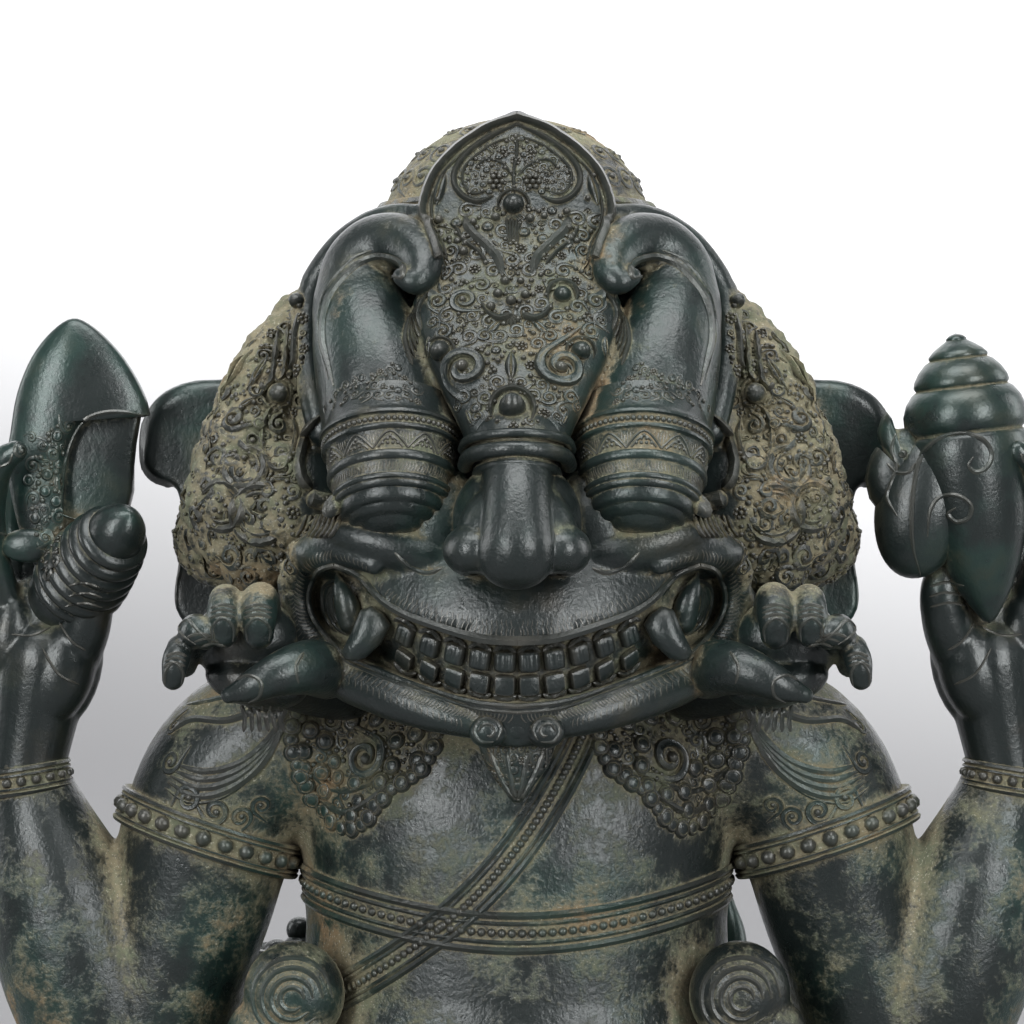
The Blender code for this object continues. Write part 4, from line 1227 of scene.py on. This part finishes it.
def arm_band(centre, along, radius, depth, beads, width=30):
    """A band of beads between two pairs of rims round a limb, wider across than deep."""
    half = width / 2
    profile = [(-half - 1, 0), (-half, radius), (-half + 1, radius + 4), (-half + 3.5, radius + 5),
               (-half + 5, radius + 2), (-half + 6.5, radius + 4), (-half + 8, radius + 4),
               (-half + 9, radius + 1),
               (half - 9, radius + 1), (half - 8, radius + 4), (half - 6.5, radius + 4),
               (half - 5, radius + 2),
               (half - 3.5, radius + 5), (half - 1, radius + 4), (half, radius), (half + 1, 0)]
    ring = turned(profile, (0, 0, 0), (0, 0, 1), 64)
    relief = Relief(Ground(ring), round_line((0, 0, 0), (0, 0, 1)))
    for i in range(beads):
        relief.lay(BEAD, 360 * i / beads, 0, math.pi * radius / beads * 0.78)
    band = joined("band", [ring, relief.finish("beads")])
    band.data.transform(Matrix.Translation(centre) @ aim(along) @ Matrix.Diagonal((1, depth, 1, 1)))
    return band


def chest_patches(ground):
    """The cloud-like ornaments on both sides of the chest."""
    relief = Relief(ground, bold=1.35)
    edge = [(92, 462), (122, 470), (152, 470), (178, 462), (192, 446), (196, 424), (190, 402), (184, 382),
            (170, 362),
            (152, 348), (134, 352), (122, 366), (108, 384), (90, 394), (76, 410), (70, 430), (78, 448)]
    for i, (u, v) in enumerate(smooth_line(edge + edge[:1], 2)[:-1]):
        relief.lay(PUFF, u, v, 9.5 if i % 2 else 7.5)
    relief.mirror()
    for side, seed in ((1, 5), (-1, 9)):
        outline = [(side * x, z) for x, z in edge]
        taken = [(side * 132, 412, 24), (side * 160, 440, 12)]
        relief.lay(HEAVY_CURL, side * 132, 410, 20, 250, side < 0)
        relief.lay(HEAVY_CURL, side * 160, 440, 11, 60, side > 0)
        relief.ridge([(side * 172, 372), (side * 150, 362), (side * 128, 372), (side * 104, 392)], 3.4,
                     cuts=6)
        relief.ridge([(side * 182, 400), (side * 166, 384), (side * 146, 380), (side * 118, 392)], 2.6,
                     cuts=6)
        chance = random.Random(seed)
        for u, v, size in scattered(outline, (11, 9), taken, chance, 0.72):
            relief.lay(PUFF, u, v, size * 0.8)
        carve(relief, outline, chance, taken, (9, 7), (5.5, 4.4), (3.4, 2.6))
    return [relief.finish("chest_patches")]


def shoulder_ribbons(ground):
    """The leaf-shaped ribbons that fan over each shoulder and end in curls."""
    relief = Relief(ground, bold=1.25)
    for i in range(4):
        path = [(190 + 5 * i, 466 - 12 * i), (208 + 6 * i, 432 - 11 * i), (236 + 6 * i, 406 - 9 * i),
                (270 + 4 * i, 396 - 7 * i), (298 + 2 * i, 402 - 5 * i)]
        relief.ridge(path, lambda s: 5.6 - 3.4 * s, cuts=8, flat=0.7)
        relief.ridge([(x + 3, z - 6) for x, z in path], 1.6, cuts=8)
    relief.ridge([(196, 474), (222, 452), (252, 440), (284, 440), (304, 428)], 3.4, cuts=8)
    relief.ridge([(204, 486), (230, 468), (262, 458), (290, 452)], 2.4, cuts=8)
    for u, v, size, turn, flip in ((302, 404, 11, 200, False), (286, 372, 12, 20, False),
                                   (262, 362, 12, 160, True),
                                   (240, 356, 10, 60, True), (222, 366, 9, 300, False),
                                   (300, 434, 9, 240, True)):
        relief.lay(HEAVY_CURL, u, v, size, turn, flip)
    relief.mirror()
    return [relief.finish("shoulder_ribbons")]


def build_dress(ground):
    """Everything worn: armlets, bracelets, belt, cord, sash knots, chest and shoulder ornaments."""
    trunk = trunk_mass()
    parts = both(arm_band((272, -2, 338), (-0.34, 0, 1), 80, 1.02, 26, 32),
                 arm_band((435, -5, 385), (0.16, 0, 1), 37, 1.0, 18, 26),
                 arm_band((252, 213, 147), (-0.6, 0.72, 0.3), 35, 1.0, 16, 22),
                 arm_band((128, 252, 48), (1, -0.35, 0), 45, 1.0, 18, 26))
    around = Relief(Ground(*trunk), round_line((0, 4, 0), (0, 0, 1)))
    for offset, size in ((15, 3.6), (8, 2.2), (-8, 2.2), (-15, 3.6)):
        path = [(10 * i, belt_height(10 * i) + offset) for i in range(37)]
        around.ridge(path, size, cuts=3, taper=False)
    for i in range(110):
        degrees = 360 * i / 110
        around.lay(BEAD, degrees, belt_height(degrees), 4.2)
    parts.append(around.finish("belt"))
    for lump in trunk:
        bpy.data.objects.remove(lump)
    front = Relief(ground)
    cord = [(66, 450), (52, 420), (34, 386), (10, 348), (-20, 310), (-54, 276), (-92, 246), (-132, 218),
            (-160, 200)]
    for shift, size in ((-13, 3.0), (-8, 2.0), (8, 2.0), (13, 3.0)):
        front.ridge([(x + shift * 0.8, z - shift * 0.62) for x, z in cord], size, cuts=8, taper=False)
    for u, v in smooth_line(cord, 8):
        front.lay(BEAD, u, v, 4.0)
    parts += chest_patches(ground)
    parts += shoulder_ribbons(ground)
    parts.append(front.finish("chest_ornaments"))
    knots = []
    for side in (1, -1):
        lump = fused("knot", [ball((side * 192, -108, 206), (44, 40, 46)),
                              ball((side * 206, -100, 168), (46, 42, 40)),
                              ball((side * 176, -128, 150), (30, 26, 40), side * 25)], 3.0, 4)
        knots.append(lump)
        wraps = Relief(Ground(lump))
        for reach in (34, 26, 18, 10):
            wraps.ridge(arc((side * 192, 206), reach, [a * 0.7 for a in range(9)]), 2.6, cuts=4)
        for i in range(5):
            wraps.ridge([(side * (172 + 14 * i), 178), (side * (170 + 15 * i), 150),
                         (side * (168 + 17 * i), 128)], 2.6)
        knots.append(wraps.finish("knot_wraps"))
    return parts + knots


def belt_height(degrees):
    """The belt's height at an angle from +X: it dips at the front and at the back."""
    return 296 - 34 * abs(math.sin(math.radians(degrees))) ** 1.5


def build_guardian_hands():
    """The small clawed hands beside the jaw."""
    lumps = [roll([(130, -55, 466, 30), (185, -125, 478, 29), (222, -168, 500, 34)], 24),
             ball((228, -176, 512), (46, 34, 38)), ball((220, -184, 478), (44, 34, 22), -12)]
    fingers = ((214, 549, 214, 520, 15.5), (243, 549, 243, 520, 14.0), (268, 525, 258, 518, 13.5),
               (281, 509, 285, 483, 11.5))
    for top_x, top_z, tip_x, tip_z, thick in fingers:
        lumps.append(roll([(top_x, -184, top_z - 16, thick), (top_x, -216, top_z - 2, thick),
                           (top_x, -238, top_z - 4, thick), ((top_x + tip_x) / 2, -250, (top_z + tip_z) / 2,
                                                             thick),
                           (tip_x, -248, tip_z, thick * 0.82)], 20))
    lumps.append(roll([(160, -200, 488, 24), (176, -236, 492, 23), (200, -258, 486, 18), (222, -262, 476, 13),
                       (238, -260, 470, 7)], 20))
    hands = fused("guardian_hands", both(*lumps), 2.0, 3)
    marks = Relief(Ground(hands))
    for top_x, top_z, tip_x, tip_z, thick in fingers:
        lean = (tip_x - top_x) / (top_z - tip_z)
        for drop, size in ((4, 1.5), (8, 1.1), (12, 1.4)):
            middle = top_x + lean * drop
            marks.ridge([(middle - thick * 0.75, top_z - drop - 3), (middle, top_z - drop),
                         (middle + thick * 0.75, top_z - drop - 3)], size, sides=5)
        half = thick * 0.62
        base = tip_z + 10
        middle = tip_x - lean * 10
        marks.ridge([(tip_x - half * 0.9, tip_z - 6), (middle - half, base - 4), (middle, base + 4),
                     (middle + half, base - 4), (tip_x + half * 0.9, tip_z - 6)], 1.5, sides=6)
    marks.ridge([(236, 480), (222, 487), (211, 482), (212, 470), (222, 464)], 1.5)
    marks.ridge([(176, 506), (182, 494), (180, 480)], 1.3)
    for i in range(6):
        marks.ridge([(200 + 7 * i, 458), (202 + 6 * i, 446), (198 + 7 * i, 434)], 2.2, cuts=4)
    marks.mirror()
    return [hands, marks.finish("knuckle_lines")]


def build_base():
    """The low oval base with two rings of petals."""
    low, high = BASE_LOW, BASE_HIGH
    half_width = (high.x - low.x) / 2 / PART
    half_depth = (high.y - low.y) / 2 / PART
    tall = (high.z - low.z) / PART
    swell = 18
    shares = [(0, 0), (0, 0.975), (0.02, 0.99), (0.07, 1.0), (0.11, 0.99), (0.13, 0.965), (0.15, 0.945),
              (0.3, 0.92),
              (0.42, 0.895), (0.46, 0.88), (0.48, 0.9), (0.5, 0.905), (0.52, 0.9), (0.54, 0.88), (0.58, 0.9),
              (0.7, 0.93), (0.84, 0.95), (0.86, 0.97), (0.9, 0.985), (0.96, 0.985), (0.99, 0.975), (1, 0.96),
              (1, 0)]
    core = turned([(share * tall, reach) for share, reach in shares], (0, 0, 0), (0, 0, 1), 128)
    core.data.transform(Matrix.Diagonal((half_width, half_depth, 1, 1)))
    petals = Relief()
    count = 36
    petal = leaf_motif(wide=0.62, tall=0.42, ribs=0.35, rows=8, count=11)
    for row, (height, size, upright) in enumerate(((0.3, 0.155, -1), (0.69, 0.165, 1))):
        for i in range(count):
            turn = math.tau * (i + 0.5 * row) / count
            spot = Vector((half_width * 0.925 * math.cos(turn), half_depth * 0.925 * math.sin(turn),
                           height * tall))
            out = Vector((math.cos(turn) / half_width, math.sin(turn) / half_depth, 0)).normalized()
            across = Vector((0, 0, 1)).cross(out)
            scale = size * tall
            points = [spot + across * (a * scale * 2.6) + Vector((0, 0, b * scale * upright * 1.05)) +
                      out * (c * swell * 1.5 + 3 * b) for a, b, c in petal[0]]
            petals.add(points, petal[1])
    base = [core, petals.finish("petals")]
    for piece in base:
        piece.data.transform(Matrix.Translation((0, SEAT_MIDDLE, (low.z - SEAT.z) / PART)))
    return base


# Finishes

def socket(group, name, kind, way, value=None):
    """A socket of a node group, with its first value if it takes one."""
    made = group.interface.new_socket(name=name, in_out=way, socket_type=kind)
    if value is not None:
        made.default_value = value


def link(tree, source, target):
    """Joins two sockets."""
    tree.links.new(source, target)


def node(tree, kind, **settings):
    """A new node with these settings."""
    made = tree.nodes.new(kind)
    for key, value in settings.items():
        setattr(made, key, value)
    return made


def ramp(tree, source, low, high):
    """A smooth mask that rises from 0 to 1 between two values."""
    made = node(tree, "ShaderNodeMapRange", interpolation_type="SMOOTHSTEP")
    link(tree, source, made.inputs["Value"])
    made.inputs["From Min"].default_value = low
    made.inputs["From Max"].default_value = high
    return made.outputs["Result"]


def math_node(tree, operation, first, second=0.0):
    """A sum of two numbers or sockets."""
    made = node(tree, "ShaderNodeMath", operation=operation)
    for slot_at, value in enumerate((first, second)):
        if isinstance(value, (int, float)):
            made.inputs[slot_at].default_value = value
        else:
            link(tree, value, made.inputs[slot_at])
    return made.outputs[0]


def mix(tree, share, first, second):
    """A blend of two colours, plain or from sockets, by a mask."""
    made = node(tree, "ShaderNodeMix", data_type="RGBA")
    link(tree, share, made.inputs["Factor"])
    for name, value in (("A", first), ("B", second)):
        target = [s for s in made.inputs if s.name == name and s.type == "RGBA"][0]
        if isinstance(value, tuple):
            target.default_value = value
        else:
            link(tree, value, target)
    return [s for s in made.outputs if s.type == "RGBA"][0]


def noise(tree, where, scale, detail, rough):
    """A cloudy pattern."""
    made = node(tree, "ShaderNodeTexNoise")
    link(tree, where, made.inputs["Vector"])
    made.inputs["Scale"].default_value = scale
    made.inputs["Detail"].default_value = detail
    made.inputs["Roughness"].default_value = rough
    return made.outputs["Fac"]


def patina_group():
    """Old bronze: a dark skin with green and brown clouds, dust in hollows and on ledges, a fine grain, and
    painted shade that darkens the deepest hollows.
    """
    group = bpy.data.node_groups.new("bronze_patina", "ShaderNodeTree")
    socket(group, "Dust", "NodeSocketFloat", "INPUT", 0.5)
    socket(group, "Cover", "NodeSocketFloat", "INPUT", 0.2)
    socket(group, "Green", "NodeSocketFloat", "INPUT", 0.3)
    socket(group, "Hollow Reach", "NodeSocketFloat", "INPUT", 0.02)
    socket(group, "Skin", "NodeSocketColor", "INPUT", (0.011, 0.016, 0.0155, 1))
    socket(group, "Dust Colour", "NodeSocketColor", "INPUT", (0.25, 0.215, 0.135, 1))
    socket(group, "Color", "NodeSocketColor", "OUTPUT")
    socket(group, "Roughness", "NodeSocketFloat", "OUTPUT")
    socket(group, "Height", "NodeSocketFloat", "OUTPUT")
    put_in = node(group, "NodeGroupInput")
    put_out = node(group, "NodeGroupOutput")
    where = node(group, "ShaderNodeTexCoord").outputs["Object"]
    hollow = node(group, "ShaderNodeAmbientOcclusion", samples=8)
    link(group, put_in.outputs["Hollow Reach"], hollow.inputs["Distance"])
    shut = math_node(group, "SUBTRACT", 1.0, hollow.outputs["AO"])
    clouds = noise(group, where, 8.0, 6.0, 0.62)
    blots = noise(group, where, 32.0, 6.0, 0.68)
    grain = noise(group, where, 240.0, 4.0, 0.62)
    specks = noise(group, where, 520.0, 2.0, 0.5)
    facing = node(group, "ShaderNodeNewGeometry")
    edge = facing.outputs["Pointiness"]
    up = node(group, "ShaderNodeSeparateXYZ")
    link(group, facing.outputs["Normal"], up.inputs[0])
    ledge = ramp(group, up.outputs["Z"], 0.15, 0.9)
    reach = put_in.outputs["Cover"]
    for source, middle, weight in ((shut, 0.0, 1.1), (edge, 0.5, -5.0), (blots, 0.5, 1.3), (grain, 0.5, 0.7),
                                   (ledge, 0.0, 0.22), (clouds, 0.5, 1.0)):
        share = math_node(group, "MULTIPLY", math_node(group, "SUBTRACT", source, middle), weight)
        reach = math_node(group, "ADD", reach, share)
    dusty = math_node(group, "MULTIPLY", ramp(group, reach, 0.2, 0.75), put_in.outputs["Dust"])
    green = math_node(group, "MULTIPLY", ramp(group, clouds, 0.46, 0.66), put_in.outputs["Green"])
    brown = ramp(group, noise(group, where, 16.0, 4.0, 0.6), 0.52, 0.72)
    skin = mix(group, green, put_in.outputs["Skin"], (0.013, 0.042, 0.034, 1))
    skin = mix(group, math_node(group, "MULTIPLY", brown, 0.45), skin, (0.034, 0.023, 0.013, 1))
    worn = ramp(group, edge, 0.535, 0.64)
    skin = mix(group, math_node(group, "MULTIPLY", worn, 0.4), skin, (0.13, 0.12, 0.10, 1))
    dust = mix(group, ramp(group, blots, 0.38, 0.68), put_in.outputs["Dust Colour"], (0.125, 0.14, 0.088, 1))
    dust = mix(group, ramp(group, clouds, 0.55, 0.75), dust, (0.26, 0.165, 0.085, 1))
    dust = mix(group, math_node(group, "MULTIPLY", ramp(group, specks, 0.6, 0.7), 0.6), dust,
               (0.52, 0.5, 0.4, 1))
    dust = mix(group, math_node(group, "MULTIPLY", ramp(group, grain, 0.5, 0.3), 0.5), dust,
               (0.05, 0.05, 0.035, 1))
    colour = mix(group, dusty, skin, dust)
    # painted shade: the deepest hollows, found by ambient occlusion, are darkened towards near black
    deep_painted_shade = math_node(group, "MULTIPLY", ramp(group, shut, 0.45, 0.95), 0.75)
    colour = mix(group, deep_painted_shade, colour, (0.02, 0.018, 0.012, 1))
    link(group, colour, put_out.inputs["Color"])
    rough = math_node(group, "ADD", 0.2, math_node(group, "MULTIPLY", dusty, 0.65))
    rough = math_node(group, "ADD", rough, math_node(group, "MULTIPLY", blots, 0.2))
    link(group, rough, put_out.inputs["Roughness"])
    height = math_node(group, "ADD", math_node(group, "MULTIPLY", grain, 0.8), blots)
    height = math_node(group, "ADD", height, math_node(group, "MULTIPLY", dusty, 0.9))
    link(group, height, put_out.inputs["Height"])
    return group


def bronze(name, group, dust=0.8, cover=0.0, green=0.4, reach=0.02, metal=0.3, bump=0.5, mane_cover=0.0):
    """A bronze with its own share of dust, green and gloss, and more dust over the mane where told."""
    made = bpy.data.materials.new(name)
    made.use_nodes = True
    tree = made.node_tree
    shader = tree.nodes["Principled BSDF"]
    patina = node(tree, "ShaderNodeGroup", node_tree=group)
    for key, value in (("Dust", dust), ("Cover", cover), ("Green", green), ("Hollow Reach", reach)):
        patina.inputs[key].default_value = value
    if mane_cover:
        spot = node(tree, "ShaderNodeSeparateXYZ")
        link(tree, node(tree, "ShaderNodeTexCoord").outputs["Object"], spot.inputs[0])
        aside = ramp(tree, math_node(tree, "ABSOLUTE", spot.outputs["X"]), 0.176, 0.194)
        mane = math_node(tree, "MULTIPLY", aside, ramp(tree, spot.outputs["Z"], 0.67, 0.7))
        more = math_node(tree, "MULTIPLY", mane, mane_cover)
        link(tree, math_node(tree, "ADD", more, cover), patina.inputs["Cover"])
    link(tree, patina.outputs["Color"], shader.inputs["Base Color"])
    link(tree, patina.outputs["Roughness"], shader.inputs["Roughness"])
    relief = node(tree, "ShaderNodeBump")
    relief.inputs["Strength"].default_value = bump
    relief.inputs["Distance"].default_value = 0.0016
    link(tree, patina.outputs["Height"], relief.inputs["Height"])
    link(tree, relief.outputs["Normal"], shader.inputs["Normal"])
    shader.inputs["Metallic"].default_value = metal
    shader.inputs["Specular IOR Level"].default_value = 0.6
    return made


def place(piece, name, finish, stands_for, most=180000):
    """Thins a piece to its most triangles, moves it into the frame and hides the part it stands for."""
    piece.name = name
    piece.data.name = name
    triangles = sum(len(face.vertices) - 2 for face in piece.data.polygons)
    if triangles > most:
        apply(piece, "DECIMATE", ratio=most / triangles)
    piece.data.transform(TO_FRAME)
    piece.data.materials.clear()
    piece.data.materials.append(finish)
    choose(piece)
    bpy.ops.object.shade_smooth_by_angle(angle=math.radians(CREASE_ANGLE))
    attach(piece, "root")
    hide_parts(stands_for)


# The stage

CAMERA_DISTANCE = 3.5
PLANE_OF_FACE = -200
PIXEL = 0.84
PHOTO_SIDE = 1024
PHOTO_MIDDLE = (-4.2, 621.4)


def soft_light(place_at, aim_at, wide, tall, power):
    """A soft rectangular light at a place, turned to a spot."""
    light = bpy.data.lights.new("softbox", "AREA")
    light.shape = "RECTANGLE"
    light.size = wide
    light.size_y = tall
    light.energy = power
    lamp = bpy.data.objects.new("softbox", light)
    bpy.context.scene.collection.objects.link(lamp)
    lamp.location = place_at
    lamp.rotation_euler = (Vector(aim_at) - lamp.location).to_track_quat("-Z", "Y").to_euler()


def stage():
    """A floor that curves up into a backdrop, painted dark grey low down and towards -X as painted shade and
    pale higher up, two tall soft lights, a top light and the camera.
    """
    face = TO_FRAME @ Vector((PHOTO_MIDDLE[0], PLANE_OF_FACE, PHOTO_MIDDLE[1]))
    rings = []
    for x in (-9, 9):
        ring = [(x, -9, 0), (x, 3.2, 0)]
        for i in range(1, 9):
            turn = math.pi / 2 * i / 8
            ring.append((x, 3.2 + 1.6 * math.sin(turn), 1.6 * (1 - math.cos(turn))))
        ring.append((x, 4.8, 8))
        rings.append(ring)
    count = len(rings[0])
    floor = drawn("floor", rings[0] + rings[1], [(i, i + 1, count + i + 1,
                                                  count + i) for i in range(count - 1)])
    floor.data.transform(Matrix.Translation((0, 0, BASE_LOW.z)))
    choose(floor)
    bpy.ops.object.shade_smooth()
    paper = bpy.data.materials.new("paper")
    paper.use_nodes = True
    shader = paper.node_tree.nodes["Principled BSDF"]
    shader.inputs["Roughness"].default_value = 0.9
    tree = paper.node_tree
    spot = node(tree, "ShaderNodeSeparateXYZ")
    link(tree, node(tree, "ShaderNodeTexCoord").outputs["Object"], spot.inputs[0])
    # painted shade: the paper goes from dark grey low down to pale high up, a little darker towards -X,
    # standing in for the light's fall-off
    rise = math_node(tree, "ADD", spot.outputs["Z"], math_node(tree, "MULTIPLY", spot.outputs["X"], 0.16))
    backdrop_with_painted_shade = mix(tree, ramp(tree, rise, 0.1, 1.6), (0.2, 0.2, 0.205, 1), (0.86, 0.86, 0.87, 1))
    link(tree, backdrop_with_painted_shade, shader.inputs["Base Color"])
    floor.data.materials.append(paper)
    soft_light((-1.5, -2.3, 1.35), (0, 0, 0.75), 0.5, 2.0, 62)
    soft_light((1.5, -2.2, 1.35), (0, 0, 0.75), 0.5, 2.0, 58)
    soft_light((0, -0.9, 3.0), (0, -0.1, 0.8), 2.2, 1.2, 66)
    soft_light((-3.2, 0.8, 1.6), (0, 0, 0.8), 1.2, 2.4, 40)
    soft_light((3.2, 0.8, 1.6), (0, 0, 0.8), 1.2, 2.4, 40)
    soft_light((0, 2.6, 4.6), (0, 4.8, 2.2), 7, 1.2, 330)
    world = bpy.data.worlds.new("studio")
    world.use_nodes = True
    world.node_tree.nodes["Background"].inputs["Color"].default_value = (0.95, 0.97, 1.0, 1)
    world.node_tree.nodes["Background"].inputs["Strength"].default_value = 0.28
    bpy.context.scene.world = world
    lens = bpy.data.cameras.new("camera")
    lens.sensor_width = 36
    lens.lens = 36 * CAMERA_DISTANCE / (PHOTO_SIDE * PIXEL / 1000)
    camera = bpy.data.objects.new("camera", lens)
    bpy.context.scene.collection.objects.link(camera)
    camera.location = (face.x, face.y - CAMERA_DISTANCE, face.z)
    camera.rotation_euler = (math.pi / 2, 0, 0)
    bpy.context.scene.camera = camera
    bpy.context.scene.view_settings.view_transform = "Standard"


def main():
    group = patina_group()
    face = bronze("face bronze", group, dust=0.8, cover=-0.08, green=0.45, reach=0.012, mane_cover=0.75)
    carved = bronze("carved bronze", group, dust=0.95, cover=0.44, green=0.3, reach=0.012, bump=0.8)
    crown = bronze("crown bronze", group, dust=0.85, cover=0.08, green=0.4, reach=0.008)
    smooth = bronze("smooth bronze", group, dust=0.6, cover=-0.16, green=0.8, reach=0.02, bump=0.3)
    dusty = bronze("dusty bronze", group, dust=0.86, cover=0.24, green=0.9, reach=0.03)
    head = build_head()
    head_ground = Ground(*head)
    mane = build_mane(head_ground)
    plaque = build_plaque(head_ground)
    bun = build_bun()
    ears = build_ears()
    elephant = build_elephant()
    body = body_mass()
    dress = build_dress(Ground(body))
    conch_hand = build_conch_hand()
    axe_hand = build_axe_hand()
    guardian_hands = build_guardian_hands()
    base = build_base()
    figure = "ganesha_figure"
    place(joined("head", head), "guardian_head", face, figure)
    place(mane, "mane_carving", carved, figure)
    place(plaque, "plaque_carving", crown, figure)
    place(joined("bun", bun), "hair_bun", carved, figure)
    place(joined("ears", ears), "elephant_ears", smooth, figure, most=30000)
    place(joined("elephant", elephant), "elephant_face", smooth, figure, most=66000)
    place(body, "body_and_limbs", dusty, figure, most=120000)
    place(joined("dress", dress), "jewellery_and_sash", dusty, figure, most=125000)
    place(joined("conch", conch_hand), "conch_and_hand", smooth, figure, most=42000)
    place(joined("axe", axe_hand), "axe_and_hand", smooth, figure, most=50000)
    place(joined("hands", guardian_hands), "guardian_hands", face, figure, most=76000)
    place(joined("base", base), "petalled_base", dusty, "lotus_base")
    stage()


main()
